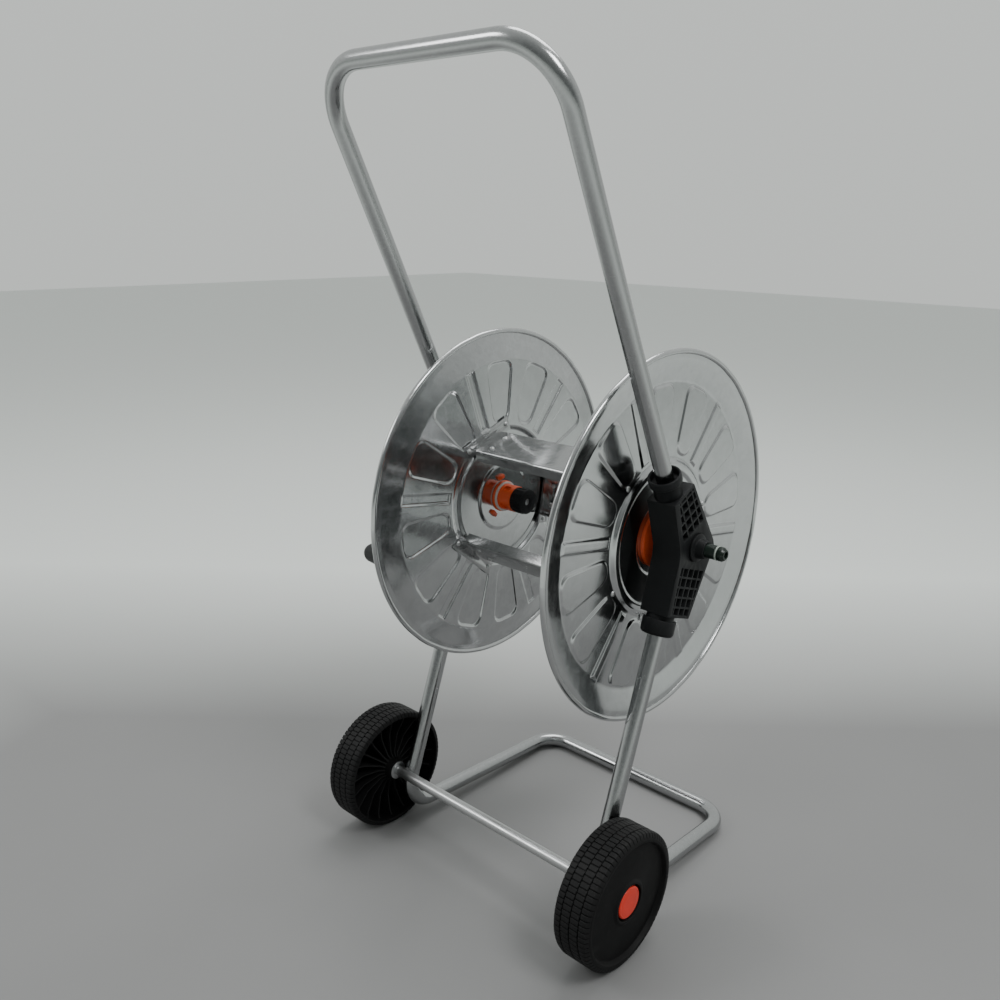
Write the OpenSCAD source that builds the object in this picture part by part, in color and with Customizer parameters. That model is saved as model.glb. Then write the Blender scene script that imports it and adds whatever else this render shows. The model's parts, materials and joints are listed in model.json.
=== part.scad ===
// Garden hose reel cart: a bent-tube frame on two wheels that carries a sheet-metal hose reel.
// X runs along the reel axis (crank side negative, water inlet side positive), Y runs from the
// user's side to the front, Z is up. The origin is on the ground under the middle of the cart.

/* [Frame] */
// Outside diameter of the bent steel tubes
tube_d = 18; // [14:0.5:22]
// Wall of the bent steel tubes
tube_wall = 1.5; // [1:0.1:2.5]
// Height of the reel axis above the ground
hub_h = 406; // [340:1:480]
// Length of the handle from the reel axis to its grip bar
handle_len = 510; // [400:1:600]
// Backward lean of the handle
handle_lean = 26.8; // [15:0.1:32]
// Corner radius of the handle, on the centre line
handle_bend_r = 58; // [45:1:80]
// Backward lean of the legs
leg_lean = 18.6; // [12:0.1:22]
// Radius of the bend from leg to ground frame, on the centre line
leg_bend_r = 34; // [28:1:36]
// Distance of the front bar ahead of the reel axis
front_y = 147; // [110:1:200]
// Corner radius of the ground frame, on the centre line
base_corner_r = 36; // [30:1:60]
// Downward slope of the ground frame towards the front bar
base_slope = 2.9; // [2:0.1:5]

/* [Wheels] */
// Diameter of the wheels
wheel_d = 146; // [125:1:175]
// Width of the wheels
wheel_w = 43; // [34:1:55]
// Diameter of the wheel axle
axle_d = 12; // [10:0.5:14]
// Running clearance of a wheel on its axle
wheel_play = 0.1; // [0.05:0.01:0.2]
// Diameter of the wheel caps
cap_d = 34; // [30:0.5:40]

/* [Reel] */
// Diameter of the reel discs
disc_d = 400; // [340:1:440]
// Distance between the rim planes of the discs
disc_gap = 238; // [180:1:300]
// Thickness of the disc sheet
sheet_t = 1; // [0.8:0.1:1.5]
// Diameter of the rolled rim bead
bead_d = 6; // [4:0.5:8]
// Depth of the flat disc face inside the rim plane
field_depth = 7; // [5:0.5:9]
// Distance of the drum bars from the reel axis, to their outer face
bar_r = 77; // [70:1:90]
// Width of the drum bars
bar_w = 50; // [40:1:56]
// Depth of the side flanges of the drum bars
bar_flange = 13; // [8:1:16]
// Thickness of the drum bar sheet
bar_t = 1.2; // [1:0.1:2]
// Angle of the first drum bar above the front direction
bar_angle = 111; // [0:1:119]
// Number of drum bars
bar_count = 3; // [3:1:4]
// Diameter of the rivet heads
rivet_d = 6; // [5:0.5:8]

/* [Hubs] */
// Diameter of the hub flange
hub_flange_d = 64; // [58:1:72]
// Diameter of the hub journal in the bracket
journal_d = 28; // [26:0.5:32]
// Running clearance of the journal in its bracket
journal_play = 0.1; // [0.05:0.01:0.2]
// Diameter of the hub boss inside the drum
boss_d = 31; // [28:0.5:34]
// Diameter of the clamp nuts inside the drum
nut_d = 29; // [26:0.5:32]
// Diameter of the water way
bore_d = 10; // [8:0.5:11]

/* [Brackets] */
// Gap between the rim plane of a disc and the bracket beside it
bracket_gap = 7.1; // [5:0.1:12]
// Width of a bracket along the reel axis
bracket_w = 33; // [31:0.5:36]
// Rib thickness of the bracket lattice
rib_t = 2; // [1.6:0.1:3]
// Pitch of the bracket lattice
rib_pitch = 10.5; // [9:0.5:14]
// Diameter of the collar on the handle tube
collar_d = 29; // [28:0.5:34]
// Diameter of the ring nut on the leg
ring_nut_d = 35; // [33:0.5:38]
// Clearance of the tubes in their sockets
socket_play = 0.1; // [0.05:0.01:0.3]

/* [Crank] */
// Radius of the crank from the reel axis to its knob
crank_r = 127; // [100:1:150]
// Direction of the crank arm above the front direction
crank_angle = 220; // [0:1:359]
// Length of the crank knob
knob_l = 76; // [60:1:90]
// Largest diameter of the crank knob
knob_d = 30; // [26:0.5:36]
// Diameter of the crank pin
pin_d = 8; // [6:0.5:10]
// Running clearance of the knob on its pin
knob_play = 0.1; // [0.05:0.01:0.2]

/* [Inlet] */
// Diameter of the inlet spigot head
spigot_d = 15.5; // [14:0.5:18]
// Length of the spigot outside the bracket
spigot_l = 34; // [26:0.5:40]

/* [Hidden] */
$fn = 64;
e = 0.01;                                   // overshoot of a cut

// Frame lines
tube_r = tube_d / 2;
disc_x = disc_gap / 2;
side_x = disc_x + bracket_gap + bracket_w / 2;
wheel_r = wheel_d / 2;
handle_y = -3;                              // handle line at the height of the reel axis
leg_y = -10;                                // leg line at the height of the reel axis
handle_start = 22;                          // tube ends stop this far from the reel axis
leg_start = 24;
top_y = handle_y - handle_len * sin(handle_lean);
top_z = hub_h + handle_len * cos(handle_lean);
t1 = tan(leg_lean);
t2 = tan(base_slope);
corner_z = (tube_r + t2 * (front_y - leg_y + t1 * hub_h)) / (1 + t1 * t2);
corner_y = leg_y - t1 * (hub_h - corner_z);
leg_turn = 90 + leg_lean - base_slope;
leg_tangent = leg_bend_r * tan(leg_turn / 2);
leg_len = (hub_h - corner_z) / cos(leg_lean) - leg_tangent;
side_len = (front_y - corner_y) / cos(base_slope);
axle_off = tube_r + axle_d / 2;             // the axle touches the back of the legs
bend_y = leg_y - leg_len * sin(leg_lean) + leg_bend_r * cos(leg_lean);
bend_z = hub_h - leg_len * cos(leg_lean) - leg_bend_r * sin(leg_lean);
on_bend = hub_h - wheel_r + axle_off * sin(leg_lean) > leg_len * cos(leg_lean);
bend_reach = leg_bend_r + axle_off;
axle_y = on_bend ? bend_y - sqrt(bend_reach * bend_reach - (wheel_r - bend_z) * (wheel_r - bend_z))
    : leg_y - t1 * (hub_h - wheel_r) - axle_off / cos(leg_lean);
weld_t = on_bend ? atan2(bend_z - wheel_r, bend_y - axle_y) : -leg_lean;

// Reel stations along X, on the inlet side
hub_seat = field_depth + 0.5;               // depth of the flat hub seat in the disc
face_x = disc_x - hub_seat;                 // outer face of the disc at its hub
field_x = disc_x - field_depth - sheet_t;   // inner face of the disc field
disc_r = disc_d / 2;
hub_hole_r = 19;
flange_t = 4;
bracket_x0 = side_x - bracket_w / 2;
bracket_x1 = side_x + bracket_w / 2;
boss_l = 21;
boss_x = face_x - sheet_t - 2;              // inner end of the hub's spacer, where the boss begins
boss_end = boss_x - boss_l;
nut_l = 16;
thread_d = 24;
clip_x = field_x - bar_t;                   // face of the clip foot that the bars butt against
clip_leg = 26;
clip_w = 42;
foot_w = 76;
foot_h = 17;
rivet_x = clip_x - 15;
head_h = 1.6;
shank_d = 3.2;

// Wheels
wheel_gap = 2;                              // washer between leg and wheel
washer_t = 1.2;
washer_play = (wheel_gap - washer_t) / 2;
wheel_x0 = side_x + tube_r + wheel_gap;
wheel_x1 = wheel_x0 + wheel_w;
rim_t = 5;                                  // wall of the tyre band
tread_t = 2;                                // depth of the tread grooves
face_t = 4;                                 // wall of the outer face
hub_d = 30;
cap_seat_d = cap_d + 5;
cap_x = wheel_x1 - 1;
axle_end = wheel_x1 - 10;

// Crank
crank_x = bracket_x1 + 4;                   // inner face of the crank arm
arm_t = 9;
knob_x0 = crank_x + arm_t + 1;
knob_x1 = knob_x0 + knob_l;
shaft_d = 8;
crank_y = crank_r * cos(crank_angle);
crank_z = crank_r * sin(crank_angle);

// Inlet
spigot_x1 = bracket_x1 + spigot_l;
cord_d = 2.5;                               // thickness of the O-ring on the spigot head
stem_cord_d = 2;                            // thickness of the O-ring on the stem in the hub
stem_l = 14;
plug_l = 10;
stem_d = bore_d + 4;

// Whole cart, for the origin
max_x = max(wheel_x1, spigot_x1);
max_y = max(front_y + tube_r, disc_r);
min_y = min(top_y - tube_r, axle_y - wheel_r, -disc_r);
mid_x = (max_x - knob_x1) / 2;
mid_y = (max_y + min_y) / 2;

// ---------- helpers ----------
module place() { translate([-mid_x, -mid_y, 0]) children(); }
module at_hub() { place() translate([0, 0, hub_h]) children(); }
// A cylinder along +X from x = a to x = b
module rod(a, b, d) { translate([a, 0, 0]) rotate([0, 90, 0]) cylinder(h = b - a, d = d); }
module cone(a, b, d1, d2) { translate([a, 0, 0]) rotate([0, 90, 0]) cylinder(h = b - a, d1 = d1, d2 = d2); }
// Revolves an outline of [radius, x] points about the X axis
module spin(points) { rotate([0, 90, 0]) rotate_extrude() polygon(points); }
// A ring of round section about the X axis
module ring(x, r, d) {
    translate([x, 0, 0]) rotate([0, 90, 0]) rotate_extrude() translate([r, 0]) circle(d = d);
}
module bend(r, a, d) { rotate_extrude(angle = a) translate([r, 0]) circle(d = d); }
// Children turned so that local X, Y, Z become world Y, Z, X
module yz() { rotate([90, 0, 90]) children(); }
module both_sides() { children(); mirror([1, 0, 0]) children(); }
module around(n, a0) { for (i = [0 : n - 1]) rotate([a0 + i * 360 / n, 0, 0]) children(); }

// ---------- frame ----------
// The handle line leans back from the reel axis; local Z runs up the tube
module handle_frame() { translate([0, handle_y, hub_h]) rotate([handle_lean, 0, 0]) children(); }
module leg_frame() { translate([0, leg_y, hub_h]) rotate([180 - leg_lean, 0, 0]) children(); }

module handle_path(d, extra) {
    straight = handle_len - handle_bend_r;
    span = side_x - handle_bend_r;
    handle_frame() {
        both_sides() {
            translate([side_x, 0, handle_start - extra]) cylinder(h = straight - handle_start + extra, d = d);
            translate([span, 0, straight]) rotate([90, 0, 0]) bend(handle_bend_r, 90, d);
        }
        translate([0, 0, handle_len]) rod(-span, span, d);
    }
}
module handle_tube() {
    color("silver") place() difference() {
        handle_path(tube_d, 0);
        handle_path(tube_d - 2 * tube_wall, 1);
    }
}

// A leg: local Z runs down the leg, and the bend turns forward from its end
module leg_path(d, extra) {
    leg_frame() {
        translate([0, 0, leg_start - extra]) cylinder(h = leg_len - leg_start + extra, d = d);
        translate([0, -leg_bend_r, leg_len]) rotate([90, 0, 90]) bend(leg_bend_r, leg_turn + 2 * extra, d);
    }
}
// Moves children to the end of the leg bend, with local Y running on along the tube
module bend_end() {
    leg_frame() translate([0, -leg_bend_r, leg_len]) rotate([leg_turn, 0, 0])
        translate([0, leg_bend_r, 0]) rotate([90, 0, 0]) children();
}
module leg(s) {
    color("silver") place() translate([s * side_x, 0, 0]) difference() {
        leg_path(tube_d, 0);
        leg_path(tube_d - 2 * tube_wall, 1);
    }
}
module leg_left() { leg(-1); }
module leg_right() { leg(1); }

// The ground frame runs on from both leg bends and round the front
module ground_path(d, extra) {
    run = side_len - leg_tangent - base_corner_r;
    span = side_x - base_corner_r;
    bend_end() {
        both_sides() {
            translate([side_x, -extra, 0]) rotate([-90, 0, 0]) cylinder(h = run + extra, d = d);
            translate([span, run, 0]) bend(base_corner_r, 90, d);
        }
        translate([0, run + base_corner_r, 0]) rod(-span, span, d);
    }
}
module ground_frame() {
    color("silver") place() difference() {
        ground_path(tube_d, 0);
        ground_path(tube_d - 2 * tube_wall, 1);
    }
}

module at_axle() { place() translate([0, axle_y, wheel_r]) children(); }
module wheel_axle() { color("silver") at_axle() rod(-axle_end, axle_end, axle_d); }
// Weld beads in the corner between each leg and the axle behind it
module axle_welds() {
    weld_d = 13;
    color("dimgray") both_welds() translate([0, axle_y, wheel_r]) rotate([weld_t, 0, 0]) difference() {
        translate([0, axle_d / 2, 0]) sphere(d = weld_d);
        translate([0, axle_off, -weld_d]) cylinder(h = 2 * weld_d, d = tube_d);
        rod(-weld_d, weld_d, axle_d);
    }
}
module both_welds() { place() for (s = [-1, 1]) translate([s * side_x, 0, 0]) children(); }

// ---------- brackets ----------
// Outline in Y and Z about the reel axis
top_l = 68;                                 // body length up the handle
bot_l = 72;                                 // body length down the leg
back = 15;                                  // wall line behind the tubes
function handle_pt(along, off) = [
    handle_y - along * sin(handle_lean) + off * cos(handle_lean),
    along * cos(handle_lean) + off * sin(handle_lean)
];
function leg_pt(along, off) = [
    leg_y - along * sin(leg_lean) + off * cos(leg_lean),
    -along * cos(leg_lean) - off * sin(leg_lean)
];
outline = [
    handle_pt(top_l, -back), handle_pt(top_l, 22), [33, 1], [35, -6], [33, -11],
    leg_pt(bot_l, 29), leg_pt(bot_l, -back), [-31, -8], [-31, 4]
];
// The same outline moved in by the side wall, for the lattice pockets
wall = 3;
inner = [
    handle_pt(top_l - wall, -7), handle_pt(top_l - wall, 22 - wall), [28, 0], [30, -6], [28, -12],
    leg_pt(bot_l - wall, 29 - wall), leg_pt(bot_l - wall, -7), [-24, -8], [-24, 4]
];

// Square pockets in rows along a tube; along and across are counts from the reel axis
module pockets(n, sides) {
    size = rib_pitch - rib_t;
    for (i = [0 : n - 1], j = sides)
        translate([-1, j * rib_pitch - size / 2, 20 + i * rib_pitch]) cube([2 + bracket_w, size, size]);
}
module lattice_cut() {
    depth = bracket_w / 2 + 5;
    difference() {
        intersection() {
            translate([side_x + bracket_w / 2 - depth, 0, 0]) yz() linear_extrude(depth + 1) polygon(inner);
            translate([side_x + bracket_w / 2 - depth, 0, 0]) {
                translate([0, handle_y, 0]) rotate([handle_lean, 0, 0]) pockets(5, [-1 : 4]);
                translate([0, leg_y, 0]) rotate([180 - leg_lean, 0, 0])
                    mirror([0, 1, 0]) pockets(6, [-1 : 4]);
            }
        }
        translate([0, 0, -hub_h]) {
            handle_frame() translate([side_x, 0, 0]) cylinder(h = top_l + 9, d = tube_d + 6);
            leg_frame() translate([side_x, 0, 0]) cylinder(h = bot_l + 9, d = tube_d + 6);
        }
        rod(bracket_x0, bracket_x1 + 1, journal_d + 9);
    }
}
module bracket_body() {
    socket_d = tube_d + 2 * socket_play;
    difference() {
        translate([bracket_x0, 0, 0]) yz() linear_extrude(bracket_w) polygon(outline);
        lattice_cut();
        translate([0, 0, -hub_h]) {
            handle_frame() translate([side_x, 0, handle_start]) cylinder(h = top_l, d = socket_d);
            leg_frame() translate([side_x, 0, leg_start]) cylinder(h = bot_l, d = socket_d);
        }
        rod(bracket_x0 - 1, bracket_x1 + 1, journal_d + 2 * journal_play);
    }
}
module bracket_right() { color("#222426") at_hub() bracket_body(); }
module bracket_left() { color("#222426") at_hub() mirror([1, 0, 0]) bracket_body(); }

// Clamp collar on the handle tube, flared at its top
collar_l = 24;
module handle_collar(s) {
    color("#1c1e20") place() handle_frame() translate([s * side_x, 0, top_l]) difference() {
        union() {
            cylinder(h = collar_l - 7, d = collar_d);
            translate([0, 0, collar_l - 9]) cylinder(h = 9, d = collar_d + 5);
        }
        translate([0, 0, -1]) cylinder(h = collar_l - 6, d = tube_d + 2 * socket_play);
        translate([0, 0, collar_l - 8]) cylinder(h = 9, d = collar_d);
    }
}
module handle_collar_left() { handle_collar(-1); }
module handle_collar_right() { handle_collar(1); }

// Ring nut on the leg under each bracket, with a rounded lower edge
ring_nut_l = 22;
module leg_nut(s) {
    soft = 4;
    color("#1c1e20") place() leg_frame() translate([s * side_x, 0, bot_l]) difference() {
        union() {
            cylinder(h = 5, d = ring_nut_d - 6);
            translate([0, 0, 5]) cylinder(h = ring_nut_l - 5 - soft, d = ring_nut_d);
            translate([0, 0, ring_nut_l - soft]) cylinder(h = soft, d = ring_nut_d - 2 * soft);
            translate([0, 0, ring_nut_l - soft]) rotate_extrude() translate([ring_nut_d / 2 - soft, 0])
                intersection() {
                    circle(r = soft);
                    translate([-soft, 0]) square([2 * soft, soft]);
                }
        }
        translate([0, 0, -1]) cylinder(h = ring_nut_l + 2, d = tube_d + 2 * socket_play);
    }
}
module leg_nut_left() { leg_nut(-1); }
module leg_nut_right() { leg_nut(1); }

// ---------- water inlet ----------
plug_x = bracket_x1 - plug_l;
module inlet_spigot() {
    neck_d = 11;
    collar_x = spigot_x1 - 13;
    color("#1d2a24") at_hub() difference() {
        union() {
            rod(plug_x, bracket_x1, journal_d - 0.02);
            rod(bracket_x1, bracket_x1 + 3, journal_d + 4);
            rod(plug_x - stem_l, plug_x, stem_d - 0.2);
            rod(bracket_x1, collar_x, neck_d);
            rod(collar_x, spigot_x1 - 3, spigot_d);
            cone(spigot_x1 - 3, spigot_x1, spigot_d, spigot_d - 5);
        }
        spigot_groove();
        stem_groove();
        rod(plug_x - stem_l - 1, spigot_x1 + 1, bore_d - 3);
    }
}
// The O-rings end just under the surfaces that they seal against
module spigot_groove() { ring(spigot_x1 - 9, (spigot_d - cord_d) / 2 - 0.05, cord_d); }
module stem_groove() { ring(plug_x - stem_l / 2, (stem_d - stem_cord_d) / 2 - 0.05, stem_cord_d); }
module spigot_o_ring() { color("#c9ccc6") at_hub() spigot_groove(); }
module stem_o_ring() { color("#202020") at_hub() stem_groove(); }

// ---------- reel ----------
// Sheet outline as [radius, distance in from the rim plane], from the hub hole to the rim
disc_line = [
    [hub_hole_r, hub_seat], [39, hub_seat], [42, hub_seat - 2], [bar_r - 6, hub_seat - 2],
    [bar_r - 2, hub_seat - 4], [bar_r + 4, hub_seat - 4], [bar_r + 8, field_depth],
    [disc_r - 35, field_depth], [disc_r - 11, 1], [disc_r - bead_d + 1, 0]
];
module disc() {
    n = len(disc_line) - 1;
    spin(concat(
        [for (p = disc_line) [p[0], disc_x - p[1]]],
        [for (i = [n : -1 : 0]) [disc_line[i][0], disc_x - disc_line[i][1] - sheet_t]]
    ));
    ring(disc_x - sheet_t / 2, disc_r - bead_d / 2, bead_d);
}
module disc_with_holes() {
    difference() {
        disc();
        foot_rivets(shank_d, 0, 3);
        around(3, bar_angle - 6) translate([face_x - 3, 23, -4.5]) cube([6, 5, 9]);
    }
}
module reel_disc_right() { color("#b9bdbd") at_hub() disc_with_holes(); }
module reel_disc_left() { color("#b9bdbd") at_hub() mirror([1, 0, 0]) disc_with_holes(); }

// Drum bars: a web with two side flanges, running from clip to clip
module bar() {
    w = bar_w / 2;
    difference() {
        translate([-clip_x, bar_r - bar_flange, -w]) cube([2 * clip_x, bar_flange, bar_w]);
        translate([-clip_x - 1, bar_r - bar_flange - 1, bar_t - w])
            cube([2 * clip_x + 2, bar_flange + 1 - bar_t, bar_w - 2 * bar_t]);
        bar_rivet_holes();
    }
}
rivet_off = 12;
module bar_rivet_holes() {
    for (x = [-rivet_x, rivet_x], z = [-rivet_off, rivet_off])
        translate([x, bar_r - bar_flange - 1, z]) rotate([-90, 0, 0])
            cylinder(h = bar_flange + 2, d = shank_d);
}
module drum_bars() { color("#c4c8c8") at_hub() around(bar_count, bar_angle) bar(); }

// Clips: a leg under the bar and a foot against the disc
clip_top = bar_r - bar_t;
module clip() {
    difference() {
        union() {
            translate([clip_x - clip_leg, clip_top - bar_t, -clip_w / 2])
                cube([clip_leg + bar_t, bar_t, clip_w]);
            translate([clip_x, clip_top - bar_t - 2, -foot_w / 2]) cube([bar_t, foot_h, foot_w]);
        }
        bar_rivet_holes();
        foot_rivet(shank_d, 0, 3);
    }
}
module bar_clips_right() { color("#a9adad") at_hub() around(bar_count, bar_angle) clip(); }
module bar_clips_left() { color("#a9adad") at_hub() mirror([1, 0, 0]) around(bar_count, bar_angle) clip(); }

// Rivets: the shank and two heads
module rivet(length, head, shank) {
    cylinder(h = length, d = shank);
    if (head > 0) {
        translate([0, 0, -head]) cylinder(h = head, d1 = rivet_d * 0.7, d2 = rivet_d);
        translate([0, 0, length]) cylinder(h = head, d1 = rivet_d, d2 = rivet_d * 0.7);
    }
}
module bar_rivets() {
    color("#d5d8d8") at_hub() around(bar_count, bar_angle)
        for (x = [-rivet_x, rivet_x], z = [-rivet_off, rivet_off])
            translate([x, clip_top - bar_t, z]) rotate([-90, 0, 0]) rivet(2 * bar_t, head_h, shank_d);
}
// Foot rivets go through the foot and the disc where its face is flat outside the ring bead
foot_rivet_r = bar_r + 8.05 + rivet_d / 2;
foot_rivet_z = foot_w / 2 - 5;
foot_rivet_y = sqrt(foot_rivet_r * foot_rivet_r - foot_rivet_z * foot_rivet_z);
module foot_rivet(shank, head, extra) {
    stack = bar_t + sheet_t;
    for (z = [-foot_rivet_z, foot_rivet_z]) translate([clip_x - extra, foot_rivet_y, z])
        rotate([0, 90, 0]) rivet(stack + 2 * extra, head, shank);
}
module foot_rivets(shank, head, extra) { around(bar_count, bar_angle) foot_rivet(shank, head, extra); }
module disc_rivets_right() { color("#d5d8d8") at_hub() foot_rivets(shank_d, head_h, 0); }
module disc_rivets_left() { color("#d5d8d8") at_hub() mirror([1, 0, 0]) foot_rivets(shank_d, head_h, 0); }

// ---------- hubs ----------
// Flange outside the disc, journal in the bracket, boss and thread inside the drum
module hub(bore) {
    difference() {
        union() {
            rod(face_x, face_x + flange_t, hub_flange_d);
            rod(face_x, plug_x - 1, journal_d);
            rod(boss_x, face_x, 2 * hub_hole_r - 0.4);
            rod(boss_end, boss_x, boss_d);
            rod(boss_end - nut_l + 4, boss_end, thread_d);
            around(3, bar_angle - 6) translate([face_x - 4.5, 23.2, -4.3]) cube([4.5 + e, 4.6, 8.6]);
        }
        around(4, 30) translate([boss_end + 6, boss_d / 2 - 2.5, -3.5]) cube([9, 4, 7]);
        rod(boss_end - nut_l, bracket_x1, bore);
    }
}
module hub_right() {
    color("#e8541c") at_hub() difference() {
        hub(bore_d);
        rod(plug_x - stem_l - 1, plug_x, stem_d);
    }
}
module hub_left() { color("#e8541c") at_hub() mirror([1, 0, 0]) hub(shaft_d + 0.02); }

// Pale washer on the disc around each boss
module hub_washer() {
    difference() {
        rod(boss_x - 2.4, boss_x, boss_d + 5);
        rod(boss_x - 3, boss_x + 1, boss_d + 0.2);
    }
}
module hub_washer_right() { color("#d8dad4") at_hub() hub_washer(); }
module hub_washer_left() { color("#d8dad4") at_hub() mirror([1, 0, 0]) hub_washer(); }

// Ribbed clamp nut on the inner end of each boss
module hub_nut(hole) {
    grip_n = 16;
    x0 = boss_end - nut_l;
    difference() {
        union() {
            rod(x0, boss_end, nut_d);
            around(grip_n, 0) translate([x0 + 2, nut_d / 2 - 0.5, -1]) cube([nut_l - 4, 1.3, 2]);
        }
        rod(x0 + 4, boss_end + 1, thread_d + 0.2);
        rod(x0 - 1, boss_end, hole);
    }
}
module hub_nut_right() { color("#17181a") at_hub() hub_nut(hose_d + 2); }
module hub_nut_left() { color("#17181a") at_hub() mirror([1, 0, 0]) hub_nut(shaft_d + 0.4); }

// Hose barb pressed into the inlet side hub
hose_d = 15;
module outlet_barb() {
    x0 = boss_end - nut_l;
    color("#e8541c") at_hub() difference() {
        union() {
            rod(x0 - 14, boss_end, bore_d - 0.02);
            for (i = [0 : 3]) cone(x0 - 14 + i * 4, x0 - 10 + i * 4, bore_d, bore_d + 3.2);
        }
        rod(x0 - 15, boss_end + 1, bore_d - 4);
    }
}

// ---------- crank ----------
shaft_end = boss_end - nut_l + 1;
module crank_shaft() {
    color("silver") at_hub() mirror([1, 0, 0]) rod(shaft_end, crank_x + arm_t - 2, shaft_d);
}
module at_knob() { at_hub() mirror([1, 0, 0]) translate([0, crank_y, crank_z]) children(); }
module crank_arm() {
    boss = 30;
    end = 24;
    color("#1b1d1f") at_hub() mirror([1, 0, 0]) difference() {
        union() {
            rod(crank_x, crank_x + arm_t, boss);
            translate([0, crank_y, crank_z]) rod(crank_x, crank_x + arm_t, end);
            rotate([crank_angle, 0, 0]) translate([crank_x + 1, 0, -8]) cube([arm_t - 3, crank_r, 16]);
        }
        rotate([crank_angle, 0, 0]) translate([crank_x + arm_t - 4, boss / 2 + 4, -5])
            cube([4, crank_r - boss, 10]);
        rod(crank_x - 1, crank_x + arm_t - 2, shaft_d);
        rod(crank_x, crank_x + arm_t + 1, 4.2);
        translate([0, crank_y, crank_z]) rod(crank_x - 1, crank_x + arm_t + 1, pin_d);
    }
}
module crank_screw() {
    color("silver") at_hub() mirror([1, 0, 0]) {
        rod(crank_x + arm_t - 2, crank_x + arm_t, 4);
        rod(crank_x + arm_t, crank_x + arm_t + 3, 11);
    }
}
pin_head = 2;
pin_end = knob_x1 - 14;
module crank_pin() {
    color("silver") at_knob() {
        rod(crank_x, pin_end, pin_d);
        rod(crank_x - pin_head, crank_x, pin_d + 5);
        rod(pin_end, pin_end + 1.5, pin_d + 3);
    }
}
module crank_knob() {
    r = knob_d / 2;
    hole = pin_d / 2 + knob_play;
    end_r = 5;
    color("#17181a") at_knob() difference() {
        union() {
            cone(knob_x0, knob_x0 + 8, knob_d - 8, knob_d - 4);
            cone(knob_x0 + 8, knob_x0 + 30, knob_d - 4, knob_d);
            cone(knob_x0 + 30, knob_x1 - end_r, knob_d, knob_d - 7);
            rod(knob_x1 - end_r, knob_x1, knob_d - 7 - 2 * end_r);
            translate([knob_x1 - end_r, 0, 0]) rotate([0, 90, 0]) rotate_extrude()
                translate([r - 3.5 - end_r, 0]) intersection() {
                    circle(r = end_r);
                    translate([-end_r, 0]) square([2 * end_r, end_r]);
                }
        }
        rod(knob_x0 - 1, pin_end + e, 2 * hole);
        rod(pin_end - 0.3, pin_end + 2, pin_d + 3.6);
    }
}

// ---------- wheels ----------
// Half section of a wheel as [radius, x]: tyre band, outer face and hub in one moulding
module wheel_body() {
    r = wheel_r;
    soft = 6;
    seat = cap_seat_d / 2;
    face = wheel_x1 - 5;
    difference() {
        spin([
            [axle_d / 2 + wheel_play, wheel_x0], [hub_d / 2, wheel_x0], [hub_d / 2, face - face_t],
            [r - rim_t - tread_t - 4, face - face_t], [r - rim_t - tread_t, face - face_t - 4],
            [r - rim_t - tread_t, wheel_x0 + 2], [r - soft, wheel_x0], [r - 1.5, wheel_x0 + 2.5],
            [r, wheel_x0 + soft], [r, wheel_x1 - soft], [r - 1.5, wheel_x1 - 2.5], [r - soft, wheel_x1],
            [r - soft - 4, wheel_x1], [r - soft - 6, face], [seat + 3, face + 1.5],
            [seat + 1, wheel_x1 - 1.5], [seat, wheel_x1 - 1.5], [seat, cap_x - 6],
            [cap_d / 2 - 6, cap_x - 6], [cap_d / 2 - 6, cap_x - 14],
            [axle_d / 2 + wheel_play, cap_x - 14]
        ]);
        tread(r);
    }
    wheel_ribs(r);
}
// Staggered grooves across the tread, in three rows
tread_n = 30;
module tread(r) {
    row = (wheel_w - 12) / 3;
    for (k = [0 : 2]) around(tread_n, k % 2 * 180 / tread_n)
        translate([wheel_x0 + 6 + k * row, r - tread_t, -2]) cube([row - 1.4, tread_t + 1, 4]);
    for (k = [1 : 2]) difference() {
        rod(wheel_x0 + 5.3 + k * row, wheel_x0 + 6 + k * row, 2 * r + 2);
        rod(wheel_x0 + 5, wheel_x0 + 7 + k * row, 2 * r - 2 * tread_t + 1);
    }
}
module wheel_ribs(r) {
    w = 2.4;
    around(8, 0) translate([wheel_x0 + 6, hub_d / 2 - 1, -w / 2])
        cube([wheel_w - 6 - 5 - face_t + 1, r - rim_t - tread_t - hub_d / 2 + 2, w]);
}
module wheel_right() { color("#1a1b1c") at_axle() wheel_body(); }
module wheel_left() { color("#1a1b1c") at_axle() mirror([1, 0, 0]) wheel_body(); }

// Snap-on cap: a shallow dome with a skirt in the wheel's seat
module cap() {
    difference() {
        union() {
            rod(cap_x - 6, cap_x - 1, cap_d);
            cone(cap_x - 1, cap_x, cap_d, cap_d - 3);
        }
        rod(cap_x - 7, cap_x - 2.5, cap_d - 4);
    }
}
module wheel_cap_right() { color("#dd3a22") at_axle() cap(); }
module wheel_cap_left() { color("#dd3a22") at_axle() mirror([1, 0, 0]) cap(); }

module axle_washers() {
    color("silver") at_axle() for (s = [-1, 1]) scale_x(s) difference() {
        rod(wheel_x0 - washer_t - washer_play, wheel_x0 - washer_play, 22);
        rod(wheel_x0 - 3, wheel_x0 + 1, axle_d + 0.04);
    }
}
module scale_x(s) { if (s > 0) children(); else mirror([1, 0, 0]) children(); }
// Push-on clips at the axle ends, under the caps
module axle_clips() {
    color("silver") at_axle() for (s = [-1, 1]) scale_x(s) difference() {
        rod(axle_end - 3.5, axle_end - 2, 20);
        rod(axle_end - 4, axle_end, axle_d - 0.02);
    }
}

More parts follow.
